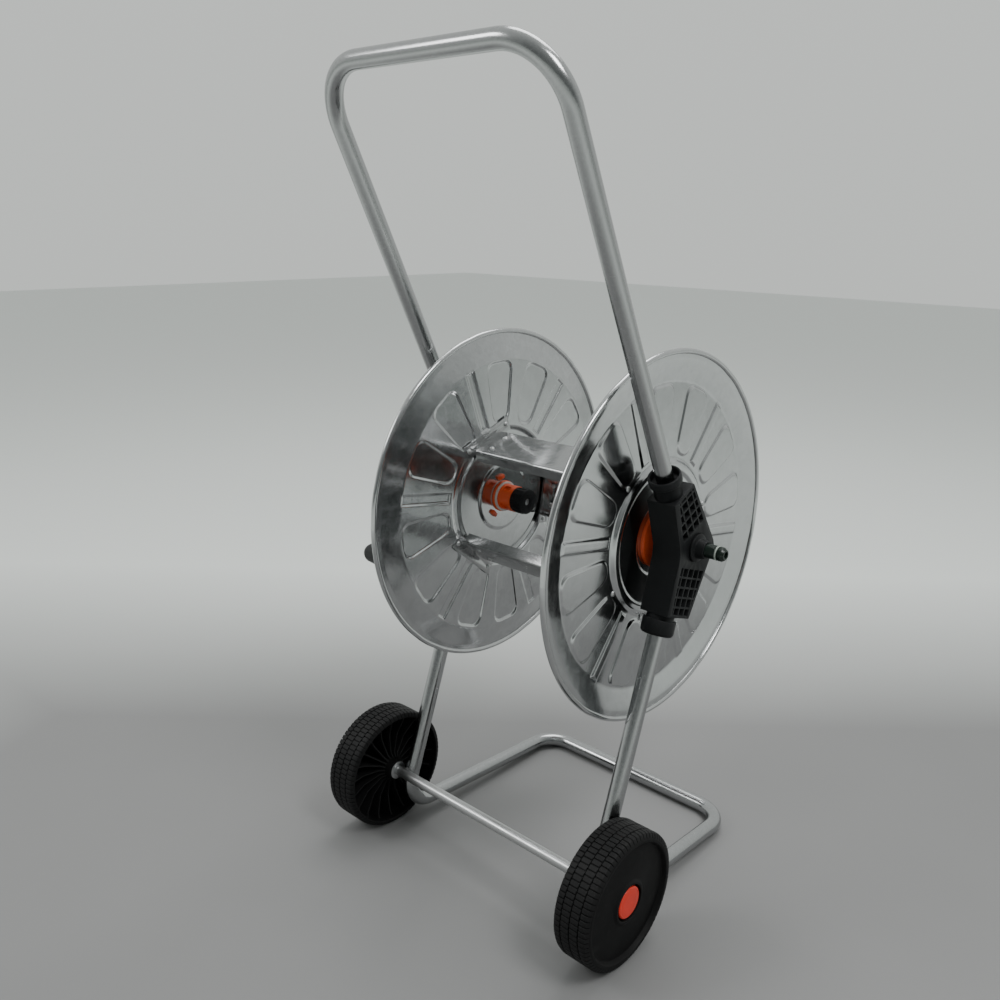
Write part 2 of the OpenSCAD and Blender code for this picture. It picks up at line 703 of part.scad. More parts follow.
handle_tube();
leg_left();
leg_right();
ground_frame();
wheel_axle();
axle_welds();
bracket_left();
bracket_right();
handle_collar_left();
handle_collar_right();
leg_nut_left();
leg_nut_right();
inlet_spigot();
spigot_o_ring();
stem_o_ring();
reel_disc_left();
reel_disc_right();
drum_bars();
bar_clips_left();
bar_clips_right();
bar_rivets();
disc_rivets_left();
disc_rivets_right();
hub_left();
hub_right();
hub_washer_left();
hub_washer_right();
hub_nut_left();
hub_nut_right();
outlet_barb();
crank_shaft();
crank_arm();
crank_screw();
crank_pin();
crank_knob();
wheel_left();
wheel_right();
wheel_cap_left();
wheel_cap_right();
axle_washers();
axle_clips();
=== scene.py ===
"""Garden hose reel cart: the detailed visual model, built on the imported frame.

Lengths are in metres unless a name ends in _mm or a docstring says millimetres. X runs along the reel
axis from the crank side to the water inlet side, Y runs from the user's side to the front, and Z is up.
"""

from __future__ import annotations

import json
import logging
import math
from dataclasses import dataclass, field
from enum import Enum
from functools import cache
from typing import Iterable, Sequence

import bmesh
import bpy
from mathutils import Matrix, Vector


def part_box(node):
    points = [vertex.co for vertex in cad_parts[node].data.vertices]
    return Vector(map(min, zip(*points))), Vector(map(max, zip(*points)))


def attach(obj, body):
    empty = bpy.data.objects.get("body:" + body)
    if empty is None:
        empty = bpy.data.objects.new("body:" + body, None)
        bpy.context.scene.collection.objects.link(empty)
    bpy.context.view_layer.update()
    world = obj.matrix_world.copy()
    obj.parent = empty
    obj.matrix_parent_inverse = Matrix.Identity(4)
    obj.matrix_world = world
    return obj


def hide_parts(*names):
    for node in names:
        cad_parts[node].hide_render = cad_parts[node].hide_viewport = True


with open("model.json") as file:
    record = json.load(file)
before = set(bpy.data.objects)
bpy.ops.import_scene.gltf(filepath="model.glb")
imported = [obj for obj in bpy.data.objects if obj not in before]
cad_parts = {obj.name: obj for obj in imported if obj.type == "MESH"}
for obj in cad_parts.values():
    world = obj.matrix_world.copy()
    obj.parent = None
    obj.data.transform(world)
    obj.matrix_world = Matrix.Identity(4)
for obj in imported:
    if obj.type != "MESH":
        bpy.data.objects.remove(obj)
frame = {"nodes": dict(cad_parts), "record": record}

LOG = logging.getLogger("reel_cart")
MM = 0.001
TAU = math.tau
ON_AXIS = 1e-9
Outline = Sequence[tuple[float, float]]
Corners = Sequence[tuple[float, float, float]]


class Side(Enum):
    """The two ends of the reel axis."""

    LEFT = -1
    RIGHT = 1

    @property
    def word(self) -> str:
        """The side as it is written in piece names."""
        return self.name.lower()


# ---------------------------------------------------------------- places in the frame


def joint_at(name: str) -> Vector:
    """Gives the rest position of a joint.

    Args:
        name: The joint's name in the record.

    Returns:
        A point on the joint's axis, in the row frame.
    """
    joints = frame["record"]["behaviour"]["joints"]
    return Vector(next(j["pos_m"] for j in joints if j["name"] == name))


def middle_x() -> float:
    """X of the plane halfway between the two discs."""
    low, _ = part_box("reel_disc_left")
    _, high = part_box("reel_disc_right")
    return (low.x + high.x) / 2


def outer_inner(node: str, side: Side) -> tuple[float, float]:
    """X of a node's faces away from the middle and towards it."""
    low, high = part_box(node)
    return (high.x, low.x) if side is Side.RIGHT else (low.x, high.x)


# ---------------------------------------------------------------- mesh helpers


def link(obj: bpy.types.Object) -> bpy.types.Object:
    """Puts an object into the scene and returns it."""
    bpy.context.scene.collection.objects.link(obj)
    return obj


def shade(obj: bpy.types.Object, sharp: float = 32.0) -> None:
    """Shades a mesh smooth, with sharp edges above an angle in degrees."""
    obj.data.shade_smooth()
    obj.data.set_sharp_from_angle(angle=math.radians(sharp))


def mesh_piece(
    name: str, verts: Sequence[Sequence[float]], faces: Sequence[Sequence[int]], sharp: float = 32.0
) -> bpy.types.Object:
    """Makes a closed mesh object with merged doubles and faces that point outwards.

    Args:
        name: The piece's name.
        verts: Vertex positions.
        faces: Vertex indices of each face.
        sharp: Angle in degrees above which an edge stays sharp.

    Returns:
        The new object.
    """
    mesh = bpy.data.meshes.new(name)
    mesh.from_pydata([tuple(v) for v in verts], [], [tuple(f) for f in faces])
    tidy_mesh(mesh)
    obj = link(bpy.data.objects.new(name, mesh))
    shade(obj, sharp)
    return obj


def tidy_mesh(mesh: bpy.types.Mesh) -> None:
    """Merges doubles, drops faces without area and turns faces outwards."""
    bm = bmesh.new()
    bm.from_mesh(mesh)
    bmesh.ops.remove_doubles(bm, verts=bm.verts, dist=2e-6)
    bmesh.ops.dissolve_degenerate(bm, edges=bm.edges, dist=1e-7)
    bmesh.ops.recalc_face_normals(bm, faces=bm.faces)
    bm.to_mesh(mesh)
    bm.free()
    mesh.update()


def grid_faces(
    rows: int, columns: int, wrap_rows: bool = True, wrap_columns: bool = True
) -> list[tuple[int, ...]]:
    """Lists the four-sided faces of a grid of vertices laid row by row.

    Args:
        rows: Number of rows.
        columns: Vertices in a row.
        wrap_rows: Whether the last row joins the first.
        wrap_columns: Whether the last vertex of a row joins the first.

    Returns:
        Vertex indices of each face.
    """
    faces = []
    for k in range(rows if wrap_rows else rows - 1):
        m = (k + 1) % rows
        for i in range(columns if wrap_columns else columns - 1):
            j = (i + 1) % columns
            faces.append((k * columns + i, k * columns + j, m * columns + j, m * columns + i))
    return faces


def prism_faces(count: int) -> list[tuple[int, ...]]:
    """Lists the sides and both ends of a prism over an outline of so many points."""
    return [*grid_faces(2, count, False), tuple(range(count)), tuple(range(2 * count - 1, count - 1, -1))]


def quarter(steps: int = 5) -> list[float]:
    """Angles of a quarter turn in even steps, both ends included."""
    return [math.radians(90 * k / steps) for k in range(steps + 1)]


def fillet(corners: Corners, steps: int = 4) -> list[tuple[float, float]]:
    """Rounds the corners of a closed outline given in millimetres.

    Args:
        corners: Points as (radius, x, corner radius), in order round the outline.
        steps: Number of straight pieces in each rounded corner.

    Returns:
        The outline's points as (radius, x), in metres.
    """
    out: list[Vector] = []
    count = len(corners)
    for i, (r, x, soft) in enumerate(corners):
        p = Vector((r, x))
        before = Vector(corners[i - 1][:2]) - p
        after = Vector(corners[(i + 1) % count][:2]) - p
        if soft <= 0:
            out.append(p)
            continue
        half = before.angle(after) / 2
        reach = min(soft / max(math.tan(half), 1e-3), 0.48 * before.length, 0.48 * after.length)
        a = p + before.normalized() * reach
        b = p + after.normalized() * reach
        for k in range(steps + 1):
            t = k / steps
            out.append(a * (1 - t) ** 2 + p * 2 * t * (1 - t) + b * t**2)
    return [(q.x * MM, q.y * MM) for q in out]


def lathe(
    name: str,
    outline: Outline,
    centre: Vector,
    side: Side = Side.RIGHT,
    segments: int = 96,
    sharp: float = 32.0,
) -> bpy.types.Object:
    """Spins a closed outline about the X axis through a centre.

    Args:
        name: The piece's name.
        outline: Points as (radius, x), with x away from the centre towards the side.
        centre: A point on the axis.
        side: Which way x runs.
        segments: Number of steps round the axis.
        sharp: Angle in degrees above which an edge stays sharp.

    Returns:
        The new object.
    """
    verts: list[tuple[float, float, float]] = []
    for k in range(segments):
        a = TAU * k / segments
        ca, sa = math.cos(a), math.sin(a)
        verts += [(centre.x + side.value * x, centre.y + r * ca, centre.z + r * sa) for r, x in outline]
    n = len(outline)
    faces = grid_faces(segments, n)
    faces = [f for f in faces if outline[f[0] % n][0] > ON_AXIS or outline[f[1] % n][0] > ON_AXIS]
    return mesh_piece(name, verts, faces, sharp)


def softened(node: str, width_mm: float, segments: int = 2, angle: float = 28.0) -> bpy.types.Object:
    """Copies a CAD node and rounds its hard edges as a mould or a press leaves them.

    Args:
        node: The node that is copied and replaced.
        width_mm: Width of the rounding.
        segments: Number of faces across the rounding.
        angle: Edges above this angle, in degrees, are rounded.

    Returns:
        A plain mesh that stands for the node.
    """
    mesh = frame["nodes"][node].data.copy()
    mesh.materials.clear()
    bm = bmesh.new()
    bm.from_mesh(mesh)
    bmesh.ops.remove_doubles(bm, verts=bm.verts, dist=4e-6)
    bmesh.ops.dissolve_limit(bm, angle_limit=math.radians(1.0), verts=bm.verts, edges=bm.edges)
    bm.to_mesh(mesh)
    bm.free()
    obj = link(bpy.data.objects.new(node + "_soft", mesh))
    bevel = obj.modifiers.new("Rounding", "BEVEL")
    bevel.width = width_mm * MM
    bevel.segments = segments
    bevel.limit_method = "ANGLE"
    bevel.angle_limit = math.radians(angle)
    bevel.use_clamp_overlap = True
    out = settle(obj)
    shade(out, 40.0)
    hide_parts(node)
    return out


def settle(obj: bpy.types.Object) -> bpy.types.Object:
    """Turns an object with modifiers into a plain mesh object of the same name."""
    bpy.context.view_layer.update()
    graph = bpy.context.evaluated_depsgraph_get()
    mesh = bpy.data.meshes.new_from_object(
        obj.evaluated_get(graph), preserve_all_data_layers=True, depsgraph=graph
    )
    name = obj.name
    bpy.data.objects.remove(obj)
    mesh.name = name
    return link(bpy.data.objects.new(name, mesh))


def mark_edges(obj: bpy.types.Object, reach: float = 0.6) -> None:
    """Stores how far each vertex stands out as the attribute "edge", from 0 on flats to 1 on corners."""
    bm = bmesh.new()
    bm.from_mesh(obj.data)
    values = []
    for v in bm.verts:
        turn = 0.0
        for e in v.link_edges:
            if len(e.link_faces) == 2:
                turn = max(turn, e.calc_face_angle_signed(0.0))
        values.append(min(1.0, max(0.0, turn / reach)))
    bm.free()
    layer = obj.data.attributes.get("edge") or obj.data.attributes.new("edge", "FLOAT", "POINT")
    layer.data.foreach_set("value", values)


def joined(name: str, parts: Sequence[bpy.types.Object]) -> bpy.types.Object:
    """Joins mesh objects into one and removes them."""
    bm = bmesh.new()
    for part in parts:
        bm.from_mesh(part.data)
    mesh = bpy.data.meshes.new(name)
    bm.to_mesh(mesh)
    bm.free()
    for part in parts:
        bpy.data.objects.remove(part)
    return link(bpy.data.objects.new(name, mesh))


# ---------------------------------------------------------------- node helpers


class Graph:
    """Short-hand for laying out the nodes of one tree."""

    def __init__(self, tree: bpy.types.NodeTree) -> None:
        """Keeps the tree that nodes are added to."""
        self.tree = tree

    def fill(self, node: bpy.types.Node, inputs: dict) -> None:
        """Links output sockets to a node's inputs, or sets them to constant values.

        Args:
            node: The node.
            inputs: Values or output sockets by input name or number.
        """
        for key, value in inputs.items():
            if isinstance(value, bpy.types.NodeSocket):
                self.tree.links.new(value, node.inputs[key])
            else:
                node.inputs[key].default_value = value

    def add(self, kind: str, inputs: dict | None = None, **settings: object) -> bpy.types.Node:
        """Adds a node.

        Args:
            kind: The node's type.
            inputs: Values or output sockets by input name or number.
            **settings: The node's own properties.

        Returns:
            The new node.
        """
        node = self.tree.nodes.new(kind)
        for key, value in settings.items():
            setattr(node, key, value)
        self.fill(node, inputs or {})
        return node

    def math(self, operation: str, a: object, b: object = 0.0) -> bpy.types.NodeSocket:
        """Adds a Math node and returns its output."""
        return self.add("ShaderNodeMath", {0: a, 1: b}, operation=operation).outputs[0]

    def scaled(self, value: object, weight: object) -> bpy.types.NodeSocket:
        """Multiplies a value by a weight."""
        return self.math("MULTIPLY", value, weight)

    def total(self, *values: object) -> bpy.types.NodeSocket:
        """Adds up values."""
        out = values[-1]
        for value in reversed(values[:-1]):
            out = self.math("ADD", value, out)
        return out

    def vector(self, operation: str, a: object, b: object = (0.0, 0.0, 0.0)) -> bpy.types.NodeSocket:
        """Adds a Vector Math node and returns its vector, or its value where it gives a single number."""
        node = self.add("ShaderNodeVectorMath", {0: a, 1: b}, operation=operation)
        return node.outputs["Value" if operation in ("DOT_PRODUCT", "LENGTH") else "Vector"]

    def part(self, vector: object, axis: int) -> bpy.types.NodeSocket:
        """Takes one component out of a vector."""
        return self.add("ShaderNodeSeparateXYZ", {0: vector}).outputs[axis]

    def noise(self, vector: object, scale: float, detail: float, **more: float) -> bpy.types.NodeSocket:
        """Adds a noise texture and returns its value."""
        inputs = {"Vector": vector, "Scale": scale, "Detail": detail, **more}
        return self.add("ShaderNodeTexNoise", inputs).outputs["Fac"]

    def bump(self, height: object, distance: float, strength: float, **more: object) -> bpy.types.NodeSocket:
        """Adds a Bump node and returns its normal."""
        inputs = {"Height": height, "Distance": distance, "Strength": strength, **more}
        return self.add("ShaderNodeBump", inputs).outputs[0]

    def group(self, tree: bpy.types.NodeTree, **inputs: object) -> bpy.types.NodeOutputs:
        """Adds a node group and returns its outputs."""
        return self.add("ShaderNodeGroup", inputs, node_tree=tree).outputs

    def mix(self, factor: object, a: object, b: object) -> bpy.types.NodeSocket:
        """Mixes two colours and returns the result."""
        return self.add("ShaderNodeMix", {0: factor, 6: a, 7: b}, data_type="RGBA").outputs[2]

    def remap(
        self, value: object, low: float, high: float, out_low: float = 0.0, out_high: float = 1.0
    ) -> bpy.types.NodeSocket:
        """Maps a value from one range to another, clamped, and returns the result."""
        inputs = {0: value, 1: low, 2: high, 3: out_low, 4: out_high}
        return self.add("ShaderNodeMapRange", inputs).outputs[0]


def socket(tree: bpy.types.NodeTree, name: str, way: str, kind: str, value: object = None) -> None:
    """Adds a named socket to a node group, with a default value if one is given."""
    item = tree.interface.new_socket(name, in_out=way, socket_type=kind)
    if value is not None:
        item.default_value = value


class GeometryTree:
    """A geometry node tree with named inputs that ends in Realize Instances and Set Material."""

    def __init__(self, name: str, inputs: Sequence[tuple[str, str, object]]) -> None:
        """Makes the tree and its sockets.

        Args:
            name: The tree's name.
            inputs: Sockets as (name, socket type, default value).
        """
        self.tree = bpy.data.node_groups.new(name, "GeometryNodeTree")
        socket(self.tree, "Geometry", "INPUT", "NodeSocketGeometry")
        for label, kind, value in inputs:
            socket(self.tree, label, "INPUT", kind, value)
        socket(self.tree, "Material", "INPUT", "NodeSocketMaterial")
        socket(self.tree, "Geometry", "OUTPUT", "NodeSocketGeometry")
        self.graph = Graph(self.tree)
        self.source = self.graph.add("NodeGroupInput").outputs

    def close(self, geometry: bpy.types.NodeSocket) -> None:
        """Realizes the geometry, sets its material and links it to the output."""
        real = self.graph.add("GeometryNodeRealizeInstances", {"Geometry": geometry})
        smooth = self.graph.add("GeometryNodeSetShadeSmooth", {0: real.outputs[0]})
        made = self.graph.add(
            "GeometryNodeSetMaterial", {"Geometry": smooth.outputs[0], "Material": self.source["Material"]}
        )
        self.graph.add("NodeGroupOutput", {"Geometry": made.outputs[0]})

    def run(self, obj: bpy.types.Object, sharp: float = 32.0, **values: object) -> bpy.types.Object:
        """Runs the tree on an object and keeps the result as a plain mesh.

        Args:
            obj: The object that carries the tree; it is replaced by the result.
            sharp: Angle in degrees above which an edge stays sharp.
            **values: Inputs by name, with spaces written as underscores.

        Returns:
            The plain mesh object.
        """
        modifier = obj.modifiers.new(self.tree.name, "NODES")
        modifier.node_group = self.tree
        wanted = {key.replace("_", " "): value for key, value in values.items()}
        for item in self.tree.interface.items_tree:
            if item.item_type == "SOCKET" and item.in_out == "INPUT" and item.name in wanted:
                modifier[item.identifier] = wanted.pop(item.name)
        if wanted:
            raise ValueError(f"{self.tree.name} has no inputs {sorted(wanted)}")
        out = settle(obj)
        shade(out, sharp)
        return out


@cache
def tube_tree() -> GeometryTree:
    """Makes the tree that draws a tube of a set radius along a curve."""
    inputs = [("Radius", "NodeSocketFloat", 0.009), ("Sides", "NodeSocketInt", 40)]
    made = GeometryTree("Tube along path", inputs)
    graph, source = made.graph, made.source
    circle = {"Resolution": source["Sides"], "Radius": source["Radius"]}
    ring = graph.add("GeometryNodeCurvePrimitiveCircle", circle, mode="RADIUS")
    body = graph.add(
        "GeometryNodeCurveToMesh",
        {"Curve": source["Geometry"], "Profile Curve": ring.outputs[0], "Fill Caps": True},
    )
    made.close(body.outputs[0])
    return made


@cache
def ring_tree() -> GeometryTree:
    """Makes the tree that repeats a prototype at even steps about the X axis."""
    made = GeometryTree(
        "Repeat about axis",
        [
            ("Prototype", "NodeSocketObject", None),
            ("Centre", "NodeSocketVector", None),
            ("Count", "NodeSocketInt", 3),
            ("Phase", "NodeSocketFloat", 0.0),
        ],
    )
    graph, source = made.graph, made.source
    index = graph.add("GeometryNodeInputIndex").outputs[0]
    step = graph.math("DIVIDE", TAU, source["Count"])
    angle = graph.total(graph.scaled(index, step), source["Phase"])
    turn = graph.add("ShaderNodeCombineXYZ", {"X": angle}).outputs[0]
    points = graph.add("GeometryNodePoints", {"Count": source["Count"], "Position": source["Centre"]})
    info = graph.add("GeometryNodeObjectInfo", {"Object": source["Prototype"]})
    copies = graph.add(
        "GeometryNodeInstanceOnPoints",
        {"Points": points.outputs[0], "Instance": info.outputs["Geometry"], "Rotation": turn},
    )
    made.close(copies.outputs[0])
    return made


def poly_curve(name: str, points: Iterable[Vector]) -> bpy.types.Object:
    """Makes an open curve object through points."""
    places = list(points)
    data = bpy.data.curves.new(name, "CURVE")
    data.dimensions = "3D"
    spline = data.splines.new("POLY")
    spline.points.add(len(places) - 1)
    for slot, p in zip(spline.points, places):
        slot.co = (p.x, p.y, p.z, 1.0)
    return link(bpy.data.objects.new(name, data))


def bent_path(corners: Sequence[tuple[Vector, float]], step: float = 4.0) -> list[Vector]:
    """Rounds the corners of a path with true arcs.

    Args:
        corners: Points with the bend radius at each.
        step: Degrees between points on an arc.

    Returns:
        The path's points.
    """
    out: list[Vector] = []
    for i, (p, radius) in enumerate(corners):
        if i == 0 or i == len(corners) - 1 or radius <= 0:
            out.append(p.copy())
            continue
        u = (corners[i - 1][0] - p).normalized()
        v = (corners[i + 1][0] - p).normalized()
        half = u.angle(v) / 2
        reach = radius / math.tan(half)
        centre = p + (u + v).normalized() * (radius / math.sin(half))
        a, b = p + u * reach - centre, p + v * reach - centre
        turn = math.pi - 2 * half
        count = max(4, round(math.degrees(turn) / step))
        for k in range(count + 1):
            t = k / count
            out.append(centre + (a * math.sin((1 - t) * turn) + b * math.sin(t * turn)) / math.sin(turn))
    return out


def repeated(
    name: str, proto: bpy.types.Object, centre: Vector, count: int, phase: float, material: bpy.types.Material
) -> bpy.types.Object:
    """Repeats a prototype about the X axis and removes the prototype.

    Args:
        name: Name of the result.
        proto: The shape at angle zero, modelled about the origin.
        centre: A point on the axis.
        count: Number of copies.
        phase: Angle of the first copy, in degrees.
        material: The finish of every copy.

    Returns:
        The joined copies as one plain mesh.
    """
    carrier = link(bpy.data.objects.new(name, bpy.data.meshes.new(name)))
    turn = math.radians(phase)
    out = ring_tree().run(
        carrier, Prototype=proto, Centre=tuple(centre), Count=count, Phase=turn, Material=material
    )
    bpy.data.objects.remove(proto)
    return out


# ---------------------------------------------------------------- shared shader effects


def shader_group(name: str, inputs: dict[str, tuple[str, object]], outputs: Sequence[str]) -> tuple:
    """Starts a shader node group.

    Args:
        name: The group's name.
        inputs: (type, default) of each input socket by name.
        outputs: Names of the output sockets, each a single value.

    Returns:
        The graph, its input sockets and its output node.
    """
    tree = bpy.data.node_groups.new(name, "ShaderNodeTree")
    for label, (kind, value) in inputs.items():
        socket(tree, label, "INPUT", "NodeSocket" + kind, value)
    for label in outputs:
        socket(tree, label, "OUTPUT", "NodeSocketFloat")
    graph = Graph(tree)
    return graph, graph.add("NodeGroupInput").outputs, graph.add("NodeGroupOutput")


@cache
def spangle() -> bpy.types.NodeTree:
    """Zinc crystals: one tone for each crystal, softened by a cloud."""
    g, src, out = shader_group(
        "Zinc spangle", {"Vector": ("Vector", None), "Scale": ("Float", 90.0)}, ["Tone", "Cloud"]
    )
    bend = g.add("ShaderNodeTexNoise", {"Vector": src["Vector"], "Scale": 60.0, "Detail": 3.0})
    shift = g.vector("SUBTRACT", bend.outputs["Color"], (0.5, 0.5, 0.5))
    place = g.vector("ADD", src["Vector"], g.vector("MULTIPLY", shift, (0.012, 0.012, 0.012)))
    tones = []
    for channel, scale in enumerate((src["Scale"], g.scaled(src["Scale"], 2.7))):
        cells = g.add("ShaderNodeTexVoronoi", {"Vector": place, "Scale": scale, "Randomness": 1.0})
        tones.append(g.add("ShaderNodeSeparateColor", {0: cells.outputs["Color"]}).outputs[channel])
    tone = g.total(g.scaled(tones[0], 0.6), g.scaled(tones[1], 0.4))
    g.fill(out, {"Tone": tone, "Cloud": g.noise(src["Vector"], 9.0, 5.0)})
    return g.tree


@cache
def streaks() -> bpy.types.NodeTree:
    """Fine drawn lines along one direction."""
    inputs = {"Vector": ("Vector", None), "Stretch": ("Vector", None)}
    g, src, out = shader_group("Drawn lines", inputs, ["Tone"])
    g.fill(out, {"Tone": g.noise(g.vector("MULTIPLY", src["Vector"], src["Stretch"]), 1.0, 4.0)})
    return g.tree


@cache
def mould_grain() -> bpy.types.NodeTree:
    """The fine pebbled grain of a spark-eroded mould."""
    g, src, out = shader_group(
        "Mould grain", {"Vector": ("Vector", None), "Scale": ("Float", 1500.0)}, ["Height", "Cloud"]
    )
    cells = g.add("ShaderNodeTexVoronoi", {"Vector": src["Vector"], "Scale": src["Scale"]})
    pits = g.noise(src["Vector"], g.scaled(src["Scale"], 0.6), 3.0)
    height = g.total(g.scaled(cells.outputs["Distance"], 0.5), pits)
    g.fill(out, {"Height": height, "Cloud": g.noise(src["Vector"], 26.0, 4.0)})
    return g.tree


@cache
def settled_dust() -> bpy.types.NodeTree:
    """Dust that lies on upward faces and in patches."""
    inputs = {"Vector": ("Vector", None), "Normal": ("Vector", None), "Amount": ("Float", 0.3)}
    g, src, out = shader_group("Settled dust", inputs, ["Mask"])
    lie = g.remap(g.part(src["Normal"], 2), -0.2, 1.0, 0.25, 1.0)
    patch = g.remap(g.noise(src["Vector"], 34.0, 6.0), 0.35, 0.7)
    speck = g.remap(g.noise(src["Vector"], 420.0, 2.0), 0.3, 0.7, 0.4, 1.0)
    g.fill(out, {"Mask": g.scaled(g.scaled(g.scaled(patch, lie), speck), src["Amount"])})
    return g.tree


@cache
def scratches() -> bpy.types.NodeTree:
    """Sparse hairline scratches and handling smudges."""
    g, src, out = shader_group(
        "Hairline scratches", {"Vector": ("Vector", None), "Scale": ("Float", 40.0)}, ["Lines", "Smudge"]
    )
    lines = []
    for turn, stretch in ((0.4, (1.0, 14.0, 1.5)), (1.3, (12.0, 1.0, 1.0)), (2.4, (1.2, 1.0, 16.0))):
        place = {"Vector": src["Vector"], "Rotation": (turn, turn / 2, turn), "Scale": stretch}
        spun = g.add("ShaderNodeMapping", place).outputs[0]
        lines.append(g.remap(g.noise(spun, src["Scale"], 1.0), 0.70, 0.735))
    smudge = g.remap(g.noise(src["Vector"], 14.0, 6.0, Roughness=0.65), 0.45, 0.68)
    most = g.math("MAXIMUM", g.math("MAXIMUM", lines[0], lines[1]), lines[2])
    g.fill(out, {"Lines": most, "Smudge": smudge})
    return g.tree


# ---------------------------------------------------------------- finishes


def start_material(name: str) -> tuple[bpy.types.Material, Graph, bpy.types.Node, bpy.types.Node]:
    """Makes a material with a Principled shader.

    Args:
        name: The material's name.

    Returns:
        The material, its graph, the shader and the texture coordinate node.
    """
    material = bpy.data.materials.new(name)
    material.use_nodes = True
    material.node_tree.nodes.clear()
    graph = Graph(material.node_tree)
    shader = graph.add("ShaderNodeBsdfPrincipled")
    graph.add("ShaderNodeOutputMaterial", {"Surface": shader.outputs[0]})
    return material, graph, shader, graph.add("ShaderNodeTexCoord")


def grey(value: float, tint: float = 0.0) -> tuple[float, float, float, float]:
    """A grey that leans slightly to green-blue by its tint."""
    return (value * (1 - tint), value, value * (1 + tint * 0.3), 1.0)


@dataclass(frozen=True)
class ZincFinish:
    """A zinc coat on steel: crystals, cloudy tone, drawn lines, smudges and hairlines."""

    name: str
    light: float
    dark: float
    smooth: float
    rough: float
    spangle: float
    stretch: tuple[float, float, float]
    crystal_height: float = 0.15
    waviness: float = 0.0
    tint: float = 0.02
    line_height: float = 0.05
    handled: float = 1.0

    def build(self) -> bpy.types.Material:
        """Builds the material."""
        material, g, shader, coords = start_material(self.name)
        at = coords.outputs["Object"]
        zinc = g.group(spangle(), Vector=at, Scale=self.spangle)
        lines = g.group(streaks(), Vector=at, Stretch=self.stretch)["Tone"]
        marks = g.group(scratches(), Vector=at)
        tone = g.total(g.scaled(zinc["Tone"], 0.45), g.scaled(zinc["Cloud"], 0.3), g.scaled(lines, 0.25))
        colour = g.mix(g.remap(tone, 0.3, 0.7), grey(self.dark, self.tint), grey(self.light, self.tint))
        scuff = g.scaled(marks["Lines"], 0.2 * self.handled)
        smear = g.scaled(marks["Smudge"], 0.15 * self.handled)
        colour = g.mix(scuff, colour, grey(self.light * 1.12, self.tint))
        colour = g.mix(smear, colour, grey(self.dark * 0.8, self.tint))
        edge = g.add("ShaderNodeAttribute", attribute_name="edge").outputs["Fac"]
        colour = g.mix(g.scaled(edge, 0.35), colour, grey(min(0.95, self.light * 1.1)))
        worn = 0.06 * self.handled
        base = g.remap(tone, 0.3, 0.7, self.smooth, self.rough)
        dull = g.total(base, g.scaled(marks["Smudge"], worn), g.scaled(marks["Lines"], worn))
        height = g.total(g.scaled(zinc["Tone"], self.crystal_height), g.scaled(lines, self.line_height))
        normal = g.bump(height, 0.00004, 0.6)
        if self.waviness > 0:
            normal = g.bump(g.noise(at, 11.0, 2.0), self.waviness, 1.0, Normal=normal)
        g.fill(shader, {"Base Color": colour, "Metallic": 1.0, "Roughness": dull, "Normal": normal})
        return material


@dataclass(frozen=True)
class MouldedFinish:
    """Moulded plastic or rubber: grain, cloudy gloss, paler edges and settled dust."""

    name: str
    colour: tuple[float, float, float]
    smooth: float
    rough: float
    grain: float = 1500.0
    grain_height: float = 0.00005
    dust: float = 0.15
    edge_lift: float = 1.8
    edge_share: float = 0.5
    sheen: float = 0.5

    def build(self) -> bpy.types.Material:
        """Builds the material."""
        material, g, shader, coords = start_material(self.name)
        at = coords.outputs["Object"]
        mould = g.group(mould_grain(), Vector=at, Scale=self.grain)
        dust = g.group(settled_dust(), Vector=at, Normal=coords.outputs["Normal"], Amount=self.dust)["Mask"]
        marks = g.group(scratches(), Vector=at, Scale=70.0)
        edge = g.add("ShaderNodeAttribute", attribute_name="edge").outputs["Fac"]
        cloud = g.remap(mould["Cloud"], 0.3, 0.7)
        deep = tuple(c * 0.78 for c in self.colour) + (1.0,)
        lifted = tuple(min(1.0, c * self.edge_lift + 0.012) for c in self.colour) + (1.0,)
        colour = g.mix(cloud, deep, (*self.colour, 1.0))
        colour = g.mix(g.scaled(edge, self.edge_share), colour, lifted)
        colour = g.mix(g.scaled(marks["Lines"], 0.25), colour, lifted)
        colour = g.mix(dust, colour, (0.34, 0.33, 0.31, 1.0))
        dull = g.total(g.remap(cloud, 0.0, 1.0, self.smooth, self.rough), g.scaled(dust, 0.3))
        normal = g.bump(mould["Height"], self.grain_height, 0.8)
        g.fill(shader, {"Base Color": colour, "Roughness": dull, "Normal": normal})
        g.fill(shader, {"Specular IOR Level": self.sheen})
        return material


@dataclass(frozen=True)
class WeldFinish:
    """A hand-laid weld bead under cold zinc paint, with scale ripples."""

    name: str = "weld bead"

    def build(self) -> bpy.types.Material:
        """Builds the material."""
        material, g, shader, coords = start_material(self.name)
        ripple = g.noise(coords.outputs["Object"], 320.0, 5.0)
        tone = g.remap(ripple, 0.3, 0.7)
        colour = g.mix(tone, grey(0.14), grey(0.38))
        dull = g.remap(tone, 0.0, 1.0, 0.65, 0.42)
        normal = g.bump(ripple, 0.0008, 1.0)
        g.fill(shader, {"Base Color": colour, "Metallic": 0.8, "Roughness": dull, "Normal": normal})
        return material


